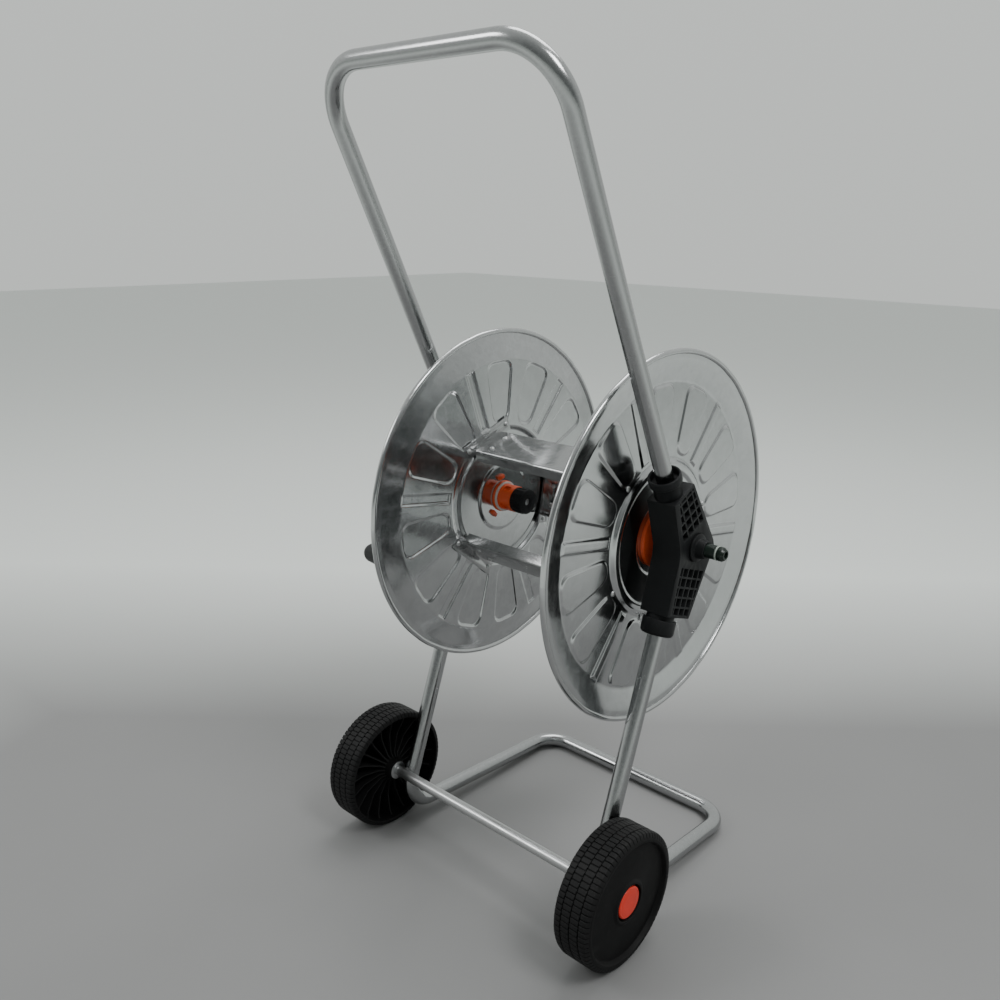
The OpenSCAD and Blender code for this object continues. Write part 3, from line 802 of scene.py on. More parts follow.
class Finish(Enum):
    """Every finish on the cart."""

    TUBE = ZincFinish(
        "galvanised tube", 0.44, 0.38, 0.17, 0.24, 700.0, (220.0, 220.0, 5.0), 0.03,
        line_height=0.12, handled=0.5,
    )
    SHEET = ZincFinish(
        "galvanised sheet", 0.54, 0.48, 0.12, 0.18, 110.0, (3.0, 420.0, 16.0), 0.05, 0.0003, handled=0.5
    )
    BAR = ZincFinish(
        "galvanised strip", 0.42, 0.33, 0.13, 0.22, 160.0, (4.0, 260.0, 260.0), 0.06, 0.0002, handled=0.6
    )
    STEEL = ZincFinish("zinc plated steel", 0.58, 0.46, 0.26, 0.38, 900.0, (60.0, 300.0, 300.0), 0.05)
    WELD = WeldFinish()
    BLACK = MouldedFinish("black moulded plastic", (0.0065, 0.0072, 0.008), 0.42, 0.54, dust=0.02, sheen=0.2)
    CRANK = MouldedFinish("crank plastic", (0.009, 0.010, 0.011), 0.32, 0.44, dust=0.03, sheen=0.35)
    TYRE = MouldedFinish(
        "wheel plastic", (0.0055, 0.0055, 0.0058), 0.52, 0.68, 900.0, 0.00008, 0.025, sheen=0.18
    )
    ORANGE = MouldedFinish(
        "orange plastic", (0.95, 0.115, 0.026), 0.26, 0.36, 1900.0, 0.00002, 0.02, 1.15, 0.35
    )
    CAP = MouldedFinish("cap plastic", (0.92, 0.045, 0.020), 0.30, 0.40, 1900.0, 0.00002, 0.02, 1.1, 0.3)
    PALE = MouldedFinish("pale plastic", (0.72, 0.72, 0.68), 0.30, 0.42, 1900.0, 0.00002, 0.05, 1.05, 0.2)
    GREEN = MouldedFinish(
        "dark green plastic", (0.005, 0.014, 0.009), 0.24, 0.34, 1900.0, 0.00002, 0.03, sheen=0.4
    )
    PALE_SEAL = MouldedFinish("pale seal", (0.45, 0.50, 0.45), 0.40, 0.50, 2200.0, 0.00001, 0.05, 1.05, 0.2)
    BLACK_SEAL = MouldedFinish("black seal", (0.015, 0.015, 0.015), 0.40, 0.50, 2200.0, 0.00001, 0.05)

    @property
    def material(self) -> bpy.types.Material:
        """The finish as a material, built on first use."""
        return bpy.data.materials.get(self.value.name) or self.value.build()


@dataclass
class Builder:
    """What every sub-assembly class shares: dressing a piece and reporting it."""

    def dress(
        self, piece: bpy.types.Object, finish: Finish, body: str, slot: str, *nodes: str
    ) -> bpy.types.Object:
        """Gives a piece its finish and its body, and hides the nodes that it stands for.

        Args:
            piece: The finished mesh object.
            finish: Its finish.
            body: The CAD body it rides on.
            slot: The record's material slot; not used.
            *nodes: CAD nodes that it replaces.

        Returns:
            The same piece.
        """
        piece.data.materials.clear()
        piece.data.materials.append(finish.material)
        mark_edges(piece)
        if nodes:
            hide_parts(*nodes)
        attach(piece, body)
        count = len(piece.data.polygons)
        LOG.info("%s: %d faces, %s, rides on %s", piece.name, count, finish.value.name, body)
        return piece

    def soften(self, node: str, width_mm: float, finish: Finish, body: str, slot: str) -> bpy.types.Object:
        """Rounds a copy of a CAD node and dresses it."""
        return self.dress(softened(node, width_mm), finish, body, slot)


# ---------------------------------------------------------------- sub-assemblies


@dataclass
class TubeFrame(Builder):
    """The handle, the legs with the ground frame, and the axle with its welds."""

    tube_r: float = 9.0 * MM
    handle_lean: float = 26.8
    handle_len: float = 510.0 * MM
    handle_bend: float = 58.0 * MM
    handle_back: float = -3.0 * MM
    handle_start: float = 22.0 * MM
    leg_lean: float = 18.6
    leg_back: float = -10.0 * MM
    leg_start: float = 24.0 * MM
    leg_bend: float = 34.0 * MM
    base_slope: float = 2.9
    base_bend: float = 36.0 * MM
    side_x: float = 142.6 * MM
    axle_chamfer: float = 1.0 * MM

    def build(self) -> None:
        """Builds the tubes, the axle and the welds."""
        self.handle()
        self.base()
        self.axle()
        self.soften("axle_welds", 0.3, Finish.WELD, "frame", "weld_metal")

    def tube(self, name: str, corners: Sequence[tuple[float, float, float]], *nodes: str) -> None:
        """Builds a bent tube that is the same on both sides of the cart.

        Args:
            name: The piece's name.
            corners: Points as (y, z, bend radius) about the reel axis, from the left end to the middle.
            *nodes: CAD nodes that it replaces.
        """
        hub = joint_at("reel_turn")
        centre = Vector((middle_x(), hub.y, hub.z))
        path: list[tuple[Vector, float]] = []
        for side, run in ((Side.LEFT, corners), (Side.RIGHT, corners[::-1])):
            path += [(centre + Vector((side.value * self.side_x, y, z)), bend) for y, z, bend in run]
        curve = poly_curve(name, bent_path(path))
        piece = tube_tree().run(curve, Radius=self.tube_r, Sides=48, Material=Finish.TUBE.material)
        self.dress(piece, Finish.TUBE, "frame", "galvanised_tube", *nodes)

    def handle(self) -> None:
        """Builds the handle as one bent tube."""
        lean = math.radians(self.handle_lean)
        corners = []
        for along, bend in ((self.handle_start, 0.0), (self.handle_len, self.handle_bend)):
            corners.append((self.handle_back - along * math.sin(lean), along * math.cos(lean), bend))
        self.tube("handle_bar", corners, "handle_tube")

    def base(self) -> None:
        """Builds both legs and the ground frame as one bent tube."""
        hub = joint_at("reel_turn")
        lean = math.radians(self.leg_lean)
        t1, t2 = math.tan(lean), math.tan(math.radians(self.base_slope))
        front_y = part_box("ground_frame")[1].y - self.tube_r - hub.y
        corner_z = (self.tube_r + t2 * (front_y - self.leg_back + t1 * hub.z)) / (1 + t1 * t2) - hub.z
        corner_y = self.leg_back + t1 * corner_z
        corners = [
            (self.leg_back - self.leg_start * math.sin(lean), -self.leg_start * math.cos(lean), 0.0),
            (corner_y, corner_z, self.leg_bend),
            (front_y, corner_z - (front_y - corner_y) * t2, self.base_bend),
        ]
        self.tube("base_bar", corners, "leg_left", "leg_right", "ground_frame")

    def axle(self) -> None:
        """Builds the axle with chamfered ends."""
        low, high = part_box("wheel_axle")
        half, r, cut = (high.x - low.x) / 2, (high.z - low.z) / 2, self.axle_chamfer
        line = [(0.0, -half), (r - cut, -half), (r, cut - half)]
        line += [(radius, -x) for radius, x in reversed(line)]
        piece = lathe("axle_bar", line, (low + high) / 2, segments=64)
        self.dress(piece, Finish.STEEL, "frame", "zinc_plated_steel", "wheel_axle")


@dataclass
class BracketPair(Builder):
    """The two lattice brackets with the clamp collars and ring nuts."""

    def build(self) -> None:
        """Builds both sides."""
        for side in Side:
            for part, width_mm in (("bracket", 0.55), ("handle_collar", 1.0), ("leg_nut", 0.8)):
                self.soften(f"{part}_{side.word}", width_mm, Finish.BLACK, "frame", "black_plastic")


@dataclass
class WaterInlet(Builder):
    """The spigot on the reel axis with its black boss and two seals, sized in millimetres."""

    bore: float = 3.5
    stem: float = 6.9
    plug: float = 13.9
    plug_depth: float = 14.0
    barrel: float = 7.45
    boss: float = 15.0
    boss_end: float = 13.0
    boss_gap: float = 0.1
    ring_back: float = 9.0
    groove: float = 1.25
    groove_depth: float = 1.8

    def build(self) -> None:
        """Builds the spigot, its boss and the seals."""
        low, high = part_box("inlet_spigot")
        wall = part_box("bracket_right")[1].x
        hub = joint_at("reel_turn")
        centre = Vector((wall, hub.y, hub.z))
        spigot = fillet(self.spigot_outline((low.x - wall) / MM, (high.x - wall) / MM))
        piece = lathe("water_spigot", spigot, centre)
        self.dress(piece, Finish.GREEN, "frame", "dark_green_plastic", "inlet_spigot")
        boss = lathe("spigot_boss", fillet(self.boss_outline()), centre)
        self.dress(boss, Finish.BLACK, "frame", "black_plastic")
        self.soften("spigot_o_ring", 0.05, Finish.PALE_SEAL, "frame", "grey_rubber")
        self.soften("stem_o_ring", 0.05, Finish.BLACK_SEAL, "frame", "black_rubber")

    def spigot_outline(self, start: float, end: float) -> Corners:
        """The spigot's outline between its inner and outer ends."""
        barrel, floor = self.barrel, self.barrel - self.groove_depth
        ring, step = end - self.ring_back, start + self.plug_depth
        return [
            (self.bore, start, 0.2),
            (self.stem, start, 0.5),
            (self.stem, step, 0.2),
            (self.plug, step, 0.5),
            (self.plug, 0.0, 0.2),
            (barrel, 0.0, 0.2),
            (barrel, ring - self.groove, 0.25),
            (floor, ring - self.groove, 0.2),
            (floor, ring + self.groove, 0.2),
            (barrel, ring + self.groove, 0.25),
            (barrel, end - 3.0, 1.2),
            (barrel - 2.2, end, 0.8),
            (self.bore, end, 0.3),
        ]

    def boss_outline(self) -> Corners:
        """The outline of the boss round the barrel."""
        inner = self.barrel + self.boss_gap
        return [
            (inner, self.boss_gap, 0.0),
            (self.boss, self.boss_gap, 0.1),
            (self.boss, 2.6, 0.8),
            (self.barrel + 3.4, 4.0, 1.4),
            (self.barrel + 1.9, self.boss_end, 0.7),
            (inner, self.boss_end, 0.2),
        ]


@dataclass
class PressedDisc(Builder):
    """One embossed sheet disc with a rolled rim, a ring bead, closed petals and radial ribs."""

    side: Side = Side.RIGHT
    rim_r: float = 200.0 * MM
    bead_r: float = 3.0 * MM
    sheet: float = 1.0 * MM
    hub_seat: float = 7.5 * MM
    field: float = 7.0 * MM
    bar_r: float = 77.0 * MM
    rib_angles: tuple[float, ...] = (51.0, 111.0, 171.0, 231.0, 291.0, 351.0)
    rib_mid: float = 127.5 * MM
    rib_reach: float = 36.5 * MM
    rib_half: float = 5.6 * MM
    petal_turn: float = 30.0
    petal_offset: float = 12.5
    petal_half: float = 7.6
    petal_in: float = 91.0 * MM
    petal_out: float = 163.0 * MM
    petal_corner: float = 13.0 * MM
    emboss: float = 1.7 * MM
    soft: float = 1.5 * MM

    def build(self) -> None:
        """Builds the disc and dresses it."""
        rings = self.radii()
        angles = self.angles()
        bead = [math.radians(165.0 - 22.0 * k) for k in range(16)]
        hub = joint_at("reel_turn")
        plane = self.rim_plane()
        verts: list[tuple[float, float, float]] = []
        for deg, shift in angles:
            turns = [deg + math.degrees(math.asin(shift / max(r, self.petal_in))) for r in rings]
            stations = [(r, -self.depth(r, turn), turn) for r, turn in zip(rings, turns)]
            for b in bead:
                roll = self.rim_r - self.bead_r + self.bead_r * math.cos(b)
                stations.append((roll, -self.sheet / 2 + self.bead_r * math.sin(b), turns[-1]))
            stations += [(r, x - self.sheet, turn) for r, x, turn in reversed(stations[: len(rings)])]
            for r, x, turn in stations:
                a = math.radians(turn)
                verts.append((plane + self.side.value * x, hub.y + r * math.cos(a), hub.z + r * math.sin(a)))
        faces = grid_faces(len(angles), len(rings) * 2 + len(bead))
        piece = mesh_piece(f"pressed_disc_{self.side.word}", verts, faces, 50.0)
        self.dress(piece, Finish.SHEET, "reel", "galvanised_sheet", f"reel_disc_{self.side.word}")

    def rim_plane(self) -> float:
        """X of the sheet's outer face at the rim."""
        outer, _ = outer_inner(f"reel_disc_{self.side.word}", self.side)
        return outer - self.side.value * (self.bead_r - self.sheet / 2)

    def radii(self) -> list[float]:
        """Radii of the rings of faces, close together where the sheet bends."""
        marks = [19, 23, 28, 34, 38, 39, 39.8, 41.2, 42, 43, 50, 58, 65]
        marks += [self.bar_r / MM + off for off in (-7.2, -6, -5, -3, -2, -0.8, 1, 2.8, 4, 5, 7, 8)]
        marks += [87.4, 89.4, 90.2, 91, 91.8, 92.8, 94.2, 96, 98, 100.5, 104, 110, 118, 127, 136, 143, 148]
        marks += [151, 153, 155, 157, 158.8, 160.4, 161.6, 162.4, 163, 163.6, 164.4, 165.6, 168, 172]
        marks += [178, 185, 188.4]
        marks += [189.4, 190.6, 192.4, 194.2]
        return [m * MM for m in marks]

    def angles(self) -> list[tuple[float, float]]:
        """Lines of faces as (angle, sideways shift), close together at the edges of petals and ribs."""
        lines: list[tuple[float, float]] = []
        close = (-1.0, -0.65, -0.4, -0.2, 0.0, 0.2, 0.4, 0.65, 1.0)
        for rib in self.rib_angles:
            shifts = [shift * MM for shift in (8.4, 7.2, 6.6, 6.1, 5.6, 5.1, 4.6, 4.0, 2.0)]
            lines += [(rib, -shift) for shift in shifts] + [(rib, shift) for shift in shifts] + [(rib, 0.0)]
            middle = rib + self.petal_turn
            for petal in (middle - self.petal_offset, middle + self.petal_offset):
                for edge in (petal - self.petal_half, petal + self.petal_half):
                    lines += [(edge + off, 0.0) for off in close]
                lines += [(petal + k * 0.75, 0.0) for k in range(-8, 9)]
            lines += [(middle + off, 0.0) for off in (-3.0, -1.8, -0.6, 0.6, 1.8, 3.0)]
        return sorted(lines, key=lambda line: (line[0] + math.degrees(line[1] / self.petal_out)) % 360.0)

    def depth(self, r: float, deg: float) -> float:
        """Gives the depth of the outer face behind the rim plane.

        Args:
            r: Radius.
            deg: Angle in degrees above the front direction.

        Returns:
            The depth, positive towards the drum.
        """
        b, seat = self.bar_r, self.hub_seat
        line = [
            (0.0, seat),
            (39 * MM, seat),
            (42 * MM, seat - 2 * MM),
            (b - 6 * MM, seat - 2 * MM),
            (b - 2 * MM, seat - 4 * MM),
            (b + 4 * MM, seat - 4 * MM),
            (b + 8 * MM, self.field),
            (165 * MM, self.field),
            (189 * MM, 1.0 * MM),
            (195 * MM, 0.0),
        ]
        raised = self.emboss * max(self.rib(r, deg), self.petal(r, deg))
        for (r0, d0), (r1, d1) in zip(line, line[1:]):
            if r <= r1:
                return d0 + (d1 - d0) * (r - r0) / (r1 - r0) - raised
        return line[-1][1] - raised

    def edge_step(self, distance: float) -> float:
        """Turns a signed distance to an outline into a share of the full height."""
        t = min(1.0, max(0.0, 0.5 - distance / (2 * self.soft)))
        return t * t * (3 - 2 * t)

    def rib(self, r: float, deg: float) -> float:
        """Share of the emboss height on a radial rib."""
        near = min((signed_turn(deg - a) for a in self.rib_angles), key=abs)
        across = abs(r * math.sin(math.radians(near))) - self.rib_half
        along = abs(r - self.rib_mid) - self.rib_reach
        return self.edge_step(max(across, along))

    def petal(self, r: float, deg: float) -> float:
        """Share of the emboss height on a closed petal."""
        mid, reach = (self.petal_in + self.petal_out) / 2, (self.petal_out - self.petal_in) / 2
        best = 0.0
        for rib in self.rib_angles:
            for way in (-1, 1):
                off = signed_turn(deg - rib - self.petal_turn - way * self.petal_offset)
                if abs(off) > 12:
                    continue
                a = math.radians(off)
                u, v = r * math.cos(a), abs(r * math.sin(a))
                half = u * math.tan(math.radians(self.petal_half))
                corner = min(self.petal_corner, 0.85 * half)
                dx, dy = abs(u - mid) - (reach - corner), v - (half - corner)
                distance = math.hypot(max(dx, 0.0), max(dy, 0.0)) + min(max(dx, dy), 0.0) - corner
                best = max(best, self.edge_step(distance))
        return best


def signed_turn(deg: float) -> float:
    """Brings an angle in degrees into the half-turn on either side of zero."""
    return (deg + 180) % 360 - 180


@dataclass
class Drum(Builder):
    """The three drum bars with their clips and rivets."""

    bar_r: float = 77.0 * MM
    bar_w: float = 50.0 * MM
    flange: float = 13.0 * MM
    sheet: float = 1.2 * MM
    bend: float = 2.6 * MM
    first: float = 111.0
    count: int = 3
    head_r: float = 3.0 * MM
    head_h: float = 1.6 * MM
    shank_r: float = 1.6 * MM
    sink: float = 0.05 * MM
    bar_rivet_z: float = 12.0 * MM
    disc_rivet_out: float = 4.6 * MM
    disc_rivet_z: float = 33.0 * MM
    disc_grip: float = 2.2 * MM

    def build(self) -> None:
        """Builds bars, clips and rivets."""
        self.bars()
        for side in Side:
            self.soften(f"bar_clips_{side.word}", 0.35, Finish.BAR, "reel", "galvanised_sheet")
        self.rivets()

    def channel(self) -> list[tuple[float, float]]:
        """The bar's cross-section as (outward, across) points, with rounded bends."""
        w, t, foot = self.bar_w / 2, self.sheet, self.bar_r - self.flange
        bend, inner = self.bend, self.bend - self.sheet
        top, side = self.bar_r - bend, w - bend
        arc = [(math.sin(a), math.cos(a)) for a in quarter()]
        out = [(foot, -w)]
        out += [(top + bend * s, -side - bend * c) for s, c in arc]
        out += [(top + bend * c, side + bend * s) for s, c in arc]
        out += [(foot, w), (foot, w - t)]
        out += [(top + inner * s, side + inner * c) for s, c in arc]
        out += [(top + inner * c, -side - inner * s) for s, c in arc]
        return [*out, (foot, t - w)]

    def repeat(
        self, name: str, proto: bpy.types.Object, x: float, finish: Finish, slot: str, node: str
    ) -> None:
        """Repeats a prototype at every drum bar, about an axis point with this x, and dresses it."""
        hub = joint_at("reel_turn")
        centre = Vector((x, hub.y, hub.z))
        piece = repeated(name, proto, centre, self.count, self.first, finish.material)
        self.dress(piece, finish, "reel", slot, node)

    def bars(self) -> None:
        """Builds one bar along the axis and repeats it about the axis."""
        low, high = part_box("drum_bars")
        half = (high.x - low.x) / 2
        section = self.channel()
        verts = [(x, y, z) for x in (-half, half) for y, z in section]
        proto = mesh_piece("bar_shape", verts, prism_faces(len(section)), 30.0)
        self.repeat("drum_channels", proto, (low.x + high.x) / 2, Finish.BAR, "galvanised_sheet", "drum_bars")

    def rivet(self, name: str, places: Sequence[Vector], axis: Vector, length: float) -> bpy.types.Object:
        """Builds domed rivets at places along an axis as one prototype.

        Args:
            name: The prototype's name.
            places: The foot of each rivet's grip.
            axis: The rivets' direction.
            length: Grip between the heads.

        Returns:
            The prototype.
        """
        head, dome, sink = self.head_r, self.head_h, self.sink
        arc = quarter()
        outline = [(0.0, -dome)] + [(head * math.sin(a), -dome * math.cos(a)) for a in arc[1:]]
        outline += [(head, sink), (self.shank_r, sink), (self.shank_r, length - sink), (head, length - sink)]
        outline += [(head * math.cos(a), length + dome * math.sin(a)) for a in arc]
        turn = Vector((1, 0, 0)).rotation_difference(axis).to_matrix()
        steps, n = 20, len(outline)
        ring = grid_faces(steps, n, wrap_columns=False)
        verts: list[Vector] = []
        faces: list[tuple[int, ...]] = []
        for place in places:
            faces += [tuple(len(verts) + i for i in face) for face in ring]
            for k in range(steps):
                a = TAU * k / steps
                verts += [place + turn @ Vector((x, r * math.cos(a), r * math.sin(a))) for r, x in outline]
        return mesh_piece(name, verts, faces, 40.0)

    def rivets(self) -> None:
        """Builds the rivets in the bars and in both discs."""
        slot = "zinc_plated_steel"
        low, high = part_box("bar_rivets")
        reach = (high.x - low.x) / 2 - self.head_r
        foot, across = self.bar_r - 2 * self.sheet, self.bar_rivet_z
        places = [Vector((x, foot, z)) for x in (-reach, reach) for z in (-across, across)]
        proto = self.rivet("bar_rivet_shape", places, Vector((0, 1, 0)), 2 * self.sheet)
        self.repeat("bar_rivet_heads", proto, (low.x + high.x) / 2, Finish.STEEL, slot, "bar_rivets")
        out, across = self.bar_r + self.disc_rivet_out, self.disc_rivet_z
        for side in Side:
            node = f"disc_rivets_{side.word}"
            _, inner = outer_inner(node, side)
            places = [Vector((0, out, z)) for z in (-across, across)]
            proto = self.rivet(node + "_shape", places, Vector((side.value, 0, 0)), self.disc_grip)
            x = inner + side.value * self.head_h
            self.repeat(f"disc_rivet_heads_{side.word}", proto, x, Finish.STEEL, slot, node)


@dataclass
class Hubs(Builder):
    """The orange hubs with their washers, clamp nuts and the hose barb."""

    def build(self) -> None:
        """Builds both hubs."""
        for side in Side:
            self.soften(f"hub_{side.word}", 0.4, Finish.ORANGE, "reel", "orange_plastic")
            self.soften(f"hub_washer_{side.word}", 0.35, Finish.PALE, "reel", "pale_plastic")
            self.soften(f"hub_nut_{side.word}", 0.35, Finish.BLACK, "reel", "black_plastic")
        self.soften("outlet_barb", 0.25, Finish.ORANGE, "reel", "orange_plastic")


@dataclass
class Crank(Builder):
    """The crank arm, its shaft, screw and pin, and the turning knob, sized in millimetres."""

    bore: float = 4.1
    pocket: float = 5.8
    pocket_back: float = 14.0

    def build(self) -> None:
        """Builds the crank."""
        self.soften("crank_shaft", 0.3, Finish.STEEL, "reel", "zinc_plated_steel")
        self.soften("crank_arm", 0.8, Finish.CRANK, "reel", "crank_black")
        self.soften("crank_screw", 0.5, Finish.STEEL, "reel", "zinc_plated_steel")
        self.soften("crank_pin", 0.4, Finish.STEEL, "reel", "zinc_plated_steel")
        self.knob()

    def knob(self) -> None:
        """Builds the tapered knob with a soft waist and a domed end."""
        low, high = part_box("crank_knob")
        centre = joint_at("crank_knob_turn")
        centre.x = high.x
        length, r = (high.x - low.x) / MM, (high.z - low.z) / 2 / MM
        front, back = length - self.pocket_back - 0.3, length - self.pocket_back + 2.0
        outline = fillet(
            [
                (self.bore, 0.0, 0.3),
                (r - 4.5, 0.0, 1.2),
                (r - 2.2, 6.0, 5.0),
                (r, 30.0, 30.0),
                (r - 3.4, length - 6.0, 10.0),
                (r - 7.0, length, 5.0),
                (0.0, length, 0.0),
                (0.0, back, 0.0),
                (self.pocket, back, 0.2),
                (self.pocket, front, 0.2),
                (self.bore, front, 0.2),
            ],
            8,
        )
        piece = lathe("turning_knob", outline, centre, Side.LEFT)
        self.dress(piece, Finish.CRANK, "crank_knob", "crank_black", "crank_knob")


@dataclass
class Wheel(Builder):
    """One moulded wheel with tread blocks, ribs inside and a snap-on cap, sized in millimetres."""

    side: Side = Side.RIGHT
    band: float = 7.0
    tread: float = 1.8
    blocks: int = 76
    rows: int = 4
    gap: float = 1.0
    ribs: int = 20
    rib_half: float = 0.9
    rib_dip: float = 9.0
    cap_seat: float = 19.5
    hub_r: float = 15.0
    bore: float = 6.1
    r: float = field(init=False)
    width: float = field(init=False)
    centre: Vector = field(init=False)

    def build(self) -> None:
        """Builds the wheel body, its tread and its cap."""
        node = f"wheel_{self.side.word}"
        low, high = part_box(node)
        self.r = (high.z - low.z) / 2 / MM
        self.width = (high.x - low.x) / MM
        self.centre = self.on_axle(node)
        parts = [self.body(), self.tread_blocks(), self.inner_ribs()]
        piece = joined(f"moulded_wheel_{self.side.word}", parts)
        shade(piece, 34.0)
        self.dress(piece, Finish.TYRE, node, "wheel_black", node)
        self.cap(node)

    def on_axle(self, node: str) -> Vector:
        """The point of the wheel's axis at the inner face of a node."""
        joint = joint_at(f"wheel_{self.side.word}_turn")
        _, inner = outer_inner(node, self.side)
        return Vector((inner, joint.y, joint.z))

    def body(self) -> bpy.types.Object:
        """Builds the revolved body below the tread."""
        r, w, rim, seat = self.r, self.width, self.r - self.band, self.cap_seat
        face, floor = self.width - 5.0, self.r - self.tread
        outline = fillet(
            [
                (self.bore, 0.0, 0.4),
                (self.hub_r - 3.0, 0.0, 0.8),
                (self.hub_r, face - 4.0, 2.0),
                (rim - 4.0, face - 4.0, 3.0),
                (rim, face - 9.0, 2.0),
                (rim, 2.0, 1.0),
                (r - 6.0, 0.0, 1.6),
                (floor - 0.6, 3.4, 2.4),
                (floor, 7.0, 2.0),
                (floor, w - 7.0, 2.0),
                (floor - 0.6, w - 3.4, 2.4),
                (r - 6.5, w, 1.6),
                (r - 9.5, w, 1.2),
                (r - 11.5, face + 0.3, 1.2),
                (r - 14.0, face + 0.3, 1.5),
                (seat + 5.0, face + 1.8, 4.0),
                (seat + 2.2, w - 1.2, 1.5),
                (seat, w - 1.2, 0.5),
                (seat, w - 7.0, 0.3),
                (11.0, w - 7.0, 0.3),
                (11.0, w - 15.0, 0.3),
                (self.bore, w - 15.0, 0.3),
            ],
            5,
        )
        return lathe("wheel_body_shape", outline, self.centre, self.side, 160, 34.0)

    def block(self, x0: float, x1: float, arc: float, edge: int) -> bpy.types.Object:
        """Builds one tread block at angle zero.

        Args:
            x0: Start along the axis, from the wheel's inner face.
            x1: End along the axis.
            arc: Length round the wheel.
            edge: -1 or 1 for a block that falls away over the shoulder, else 0.

        Returns:
            The block, modelled about the wheel's axis.
        """
        base, top = self.r - self.tread - 0.9, self.r - 0.03
        round_x, round_r, skirt = 0.5, 0.4, 0.3
        ends = []
        for x, way in ((x0, 1), (x1, -1)):
            if edge == -way:
                drops = [(0.0, base - 3.4), (0.3, base - 1.6), (2.2, top - 0.9), (4.6, top)]
            else:
                drops = [(0.0, base), (0.0, top - round_r), (round_x, top)]
            ends.append([(x + way * along, r) for along, r in drops])
        profile = ends[0] + ends[1][::-1]
        half = arc / 2 / self.r
        flat = half - round_x / self.r
        columns = [-half, -half, -flat, 0.0, flat, half, half]
        last, n = len(columns) - 1, len(profile)
        verts = []
        for i, a in enumerate(columns):
            for x, r in profile:
                if i in (0, last):
                    radius = min(r, base) - (skirt if edge else 0.0)
                else:
                    radius = max(min(r, base), r - (round_r if i in (1, last - 1) else 0.0))
                spot = Vector((self.side.value * x, radius * math.cos(a), radius * math.sin(a)))
                verts.append(spot * MM)
        faces = grid_faces(last + 1, n, False, False)
        faces.append(tuple(i * n for i in range(last + 1)))
        faces.append(tuple(i * n + n - 1 for i in range(last + 1)))
        faces.append((0, *range(n - 1, 0, -1)))
        faces.append(tuple(last * n + j for j in range(n)))
        faces.append((0, n - 1, last * n + n - 1, last * n))
        mesh = bpy.data.meshes.new("block_shape")
        mesh.from_pydata(verts, [], faces)
        tidy_mesh(mesh)
        return link(bpy.data.objects.new("block_shape", mesh))

    def tread_blocks(self) -> bpy.types.Object:
        """Builds every row of staggered blocks."""
        pitch = self.width / self.rows
        arc = TAU * self.r / self.blocks - self.gap
        last = self.rows - 1
        made = []
        for row in range(self.rows):
            x0 = 0.4 if row == 0 else row * pitch + self.gap / 2
            x1 = self.width - 0.4 if row == last else (row + 1) * pitch - self.gap / 2
            edge = {0: -1, last: 1}.get(row, 0)
            phase = 180.0 / self.blocks if row % 2 else 0.0
            proto = self.block(x0, x1, arc, edge)
            made.append(repeated("tread_row", proto, self.centre, self.blocks, phase, Finish.TYRE.material))
        return joined("tread_shape", made)

    def inner_ribs(self) -> bpy.types.Object:
        """Builds the stiffening ribs of the hollow inner side."""
        x0, x1 = 7.0, self.width - 9.0
        r0, r1 = self.hub_r - 2.0, self.r - self.band + 1.0
        section = [
            (r0, x0 + 1.0),
            (r0 + 5.0, x0 + self.rib_dip * 0.6),
            ((r0 + r1) / 2, x0 + self.rib_dip),
            (r1 - 6.0, x0 + self.rib_dip * 0.5),
            (r1, x0),
            (r1, x1),
            (r0, x1),
        ]
        way, half = self.side.value, self.rib_half
        verts = [Vector((way * x, r, z)) * MM for z in (-half, half) for r, x in section]
        proto = mesh_piece("rib_shape", verts, prism_faces(len(section)))
        return repeated("rib_ring", proto, self.centre, self.ribs, 15.0, Finish.TYRE.material)

    def cap(self, node: str) -> None:
        """Builds the red-orange cap with a low dome and a stepped rim."""
        part = f"wheel_cap_{self.side.word}"
        low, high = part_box(part)
        depth, r = (high.x - low.x) / MM, (high.z - low.z) / 2 / MM
        outline = fillet(
            [
                (0.0, depth - 2.2, 0.0),
                (r - 2.0, depth - 2.2, 0.5),
                (r - 2.0, 0.0, 0.3),
                (r, 0.0, 0.3),
                (r, depth - 1.2, 1.0),
                (r - 1.6, depth - 0.45, 0.8),
                (r - 2.6, depth - 0.55, 0.4),
                (r - 6.0, depth - 0.12, 6.0),
                (0.0, depth - 0.02, 0.0),
            ],
            5,
        )
        piece = lathe(f"snap_cap_{self.side.word}", outline, self.on_axle(part), self.side)
        self.dress(piece, Finish.CAP, node, "red_orange_plastic", part)


@dataclass
class AxleFittings(Builder):
    """Washers and clips that keep the wheels on the axle."""

    def build(self) -> None:
        """Builds washers and clips."""
        for node in ("axle_washers", "axle_clips"):
            self.soften(node, 0.2, Finish.STEEL, "frame", "zinc_plated_steel")


# ---------------------------------------------------------------- studio


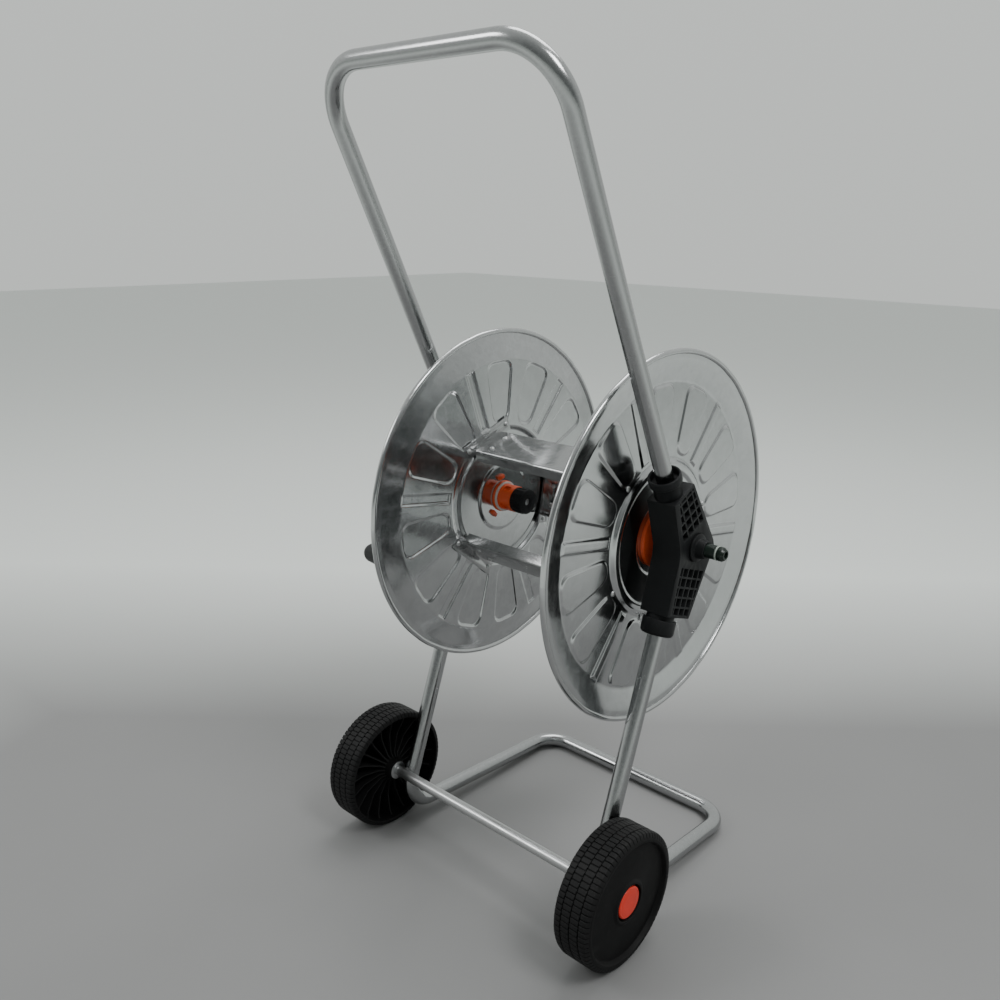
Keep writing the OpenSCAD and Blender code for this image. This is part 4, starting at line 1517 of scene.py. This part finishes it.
@dataclass
class Studio:
    """The plain pale floor, the soft lights and the camera."""

    azimuth: float = 42.456
    elevation: float = 16.253
    roll: float = 0.979
    lens: float = 34.73
    eye: tuple[float, float, float] = (0.66975, -0.80923, 0.7273)
    floor_half: float = 9.0

    def build(self) -> None:
        """Builds floor, sky, lights and camera."""
        self.camera()
        self.floor()
        self.sky()
        self.softbox("key", (1.7, -0.2, 2.5), (0.0, 0.0, 0.35), 0.9, 30.0)
        self.softbox("fill", (-1.4, -1.7, 1.9), (0.0, 0.0, 0.35), 0.8, 16.0)
        self.softbox("top", (-0.3, 0.9, 2.6), (0.0, 0.0, 0.3), 1.4, 26.0)

    def camera(self) -> None:
        """Sets the camera from its azimuth, elevation and roll."""
        a, e, r = (math.radians(v) for v in (self.azimuth, self.elevation, self.roll))
        back = Vector((math.sin(a) * math.cos(e), -math.cos(a) * math.cos(e), math.sin(e)))
        right = Vector((math.cos(a), math.sin(a), 0.0))
        up = back.cross(right)
        right, up = right * math.cos(r) + up * math.sin(r), up * math.cos(r) - right * math.sin(r)
        turn = Matrix((right, up, back)).transposed().to_4x4()
        data = bpy.data.cameras.new("view")
        data.lens = self.lens
        data.sensor_width = 36.0
        data.clip_end = 50.0
        view = link(bpy.data.objects.new("view", data))
        view.matrix_world = Matrix.Translation(self.eye) @ turn
        bpy.context.scene.camera = view

    def ahead(self) -> tuple[float, float, float]:
        """The level direction from the cart to the camera."""
        a = math.radians(self.azimuth)
        return (math.sin(a), -math.cos(a), 0.0)

    def floor(self) -> None:
        """Lays a plain pale floor that darkens softly round the cart: partly the floor's own darker grey,
        partly a painted shadow under and round the cart.
        """
        size = self.floor_half
        mesh = bpy.data.meshes.new("floor")
        corners = [(-size, -size, 0), (size, -size, 0), (size, size, 0), (-size, size, 0)]
        mesh.from_pydata(corners, [], [(0, 1, 2, 3)])
        ground = link(bpy.data.objects.new("floor", mesh))
        material, g, shader, coords = start_material("floor paint")
        at = coords.outputs["Object"]
        behind = g.vector("DOT_PRODUCT", at, tuple(-v for v in self.ahead()))
        # Darker grey round the cart: partly the floor's own colour, partly a painted shadow under and round
        # the cart.
        near = g.mix(g.noise(at, 2.5, 4.0), grey(0.22), grey(0.26))
        away = g.math("MAXIMUM", g.remap(behind, 0.25, 0.9), g.remap(g.vector("LENGTH", at), 0.75, 1.7))
        # The pale floor takes over behind the cart and further away, where the painted shadow ends.
        g.fill(shader, {"Base Color": g.mix(away, near, (0.80, 0.83, 0.805, 1.0)), "Roughness": 0.62})
        mesh.materials.append(material)

    def sky(self) -> None:
        """Sets a pale wall behind the cart and a darker room on the camera's side."""
        world = bpy.data.worlds.new("surround")
        bpy.context.scene.world = world
        world.use_nodes = True
        world.node_tree.nodes.clear()
        g = Graph(world.node_tree)
        way = g.add("ShaderNodeTexCoord").outputs["Generated"]
        height = g.part(way, 2)
        ahead = g.vector("DOT_PRODUCT", way, self.ahead())
        wall = g.mix(g.remap(height, -0.1, 0.8), (0.74, 0.77, 0.745, 1.0), (0.84, 0.87, 0.85, 1.0))
        room = g.mix(g.remap(height, 0.1, 0.9), (0.20, 0.215, 0.21, 1.0), (0.46, 0.48, 0.47, 1.0))
        colour = g.mix(g.remap(ahead, -0.15, 0.65), wall, room)
        back = g.add("ShaderNodeBackground", {"Color": colour, "Strength": 0.9})
        g.add("ShaderNodeOutputWorld", {"Surface": back.outputs[0]})

    def softbox(
        self, name: str, place: Sequence[float], aim: Sequence[float], size: float, power: float
    ) -> None:
        """Adds a square soft light.

        Args:
            name: The light's name.
            place: Where it hangs.
            aim: The point it faces.
            size: Its side length.
            power: Its power in watts.
        """
        data = bpy.data.lights.new(name, "AREA")
        data.shape = "SQUARE"
        data.size = size
        data.energy = power
        lamp = link(bpy.data.objects.new(name, data))
        lamp.location = place
        lamp.rotation_euler = (Vector(aim) - Vector(place)).to_track_quat("-Z", "Y").to_euler()


def main() -> None:
    """Builds the cart piece by piece, then the studio."""
    logging.basicConfig(level=logging.INFO, format="%(name)s %(message)s")
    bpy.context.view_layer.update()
    Studio().build()
    TubeFrame().build()
    BracketPair().build()
    WaterInlet().build()
    for side in Side:
        PressedDisc(side=side).build()
    Drum().build()
    Hubs().build()
    Crank().build()
    for side in Side:
        Wheel(side=side).build()
    AxleFittings().build()


if __name__ == "__main__":
    main()
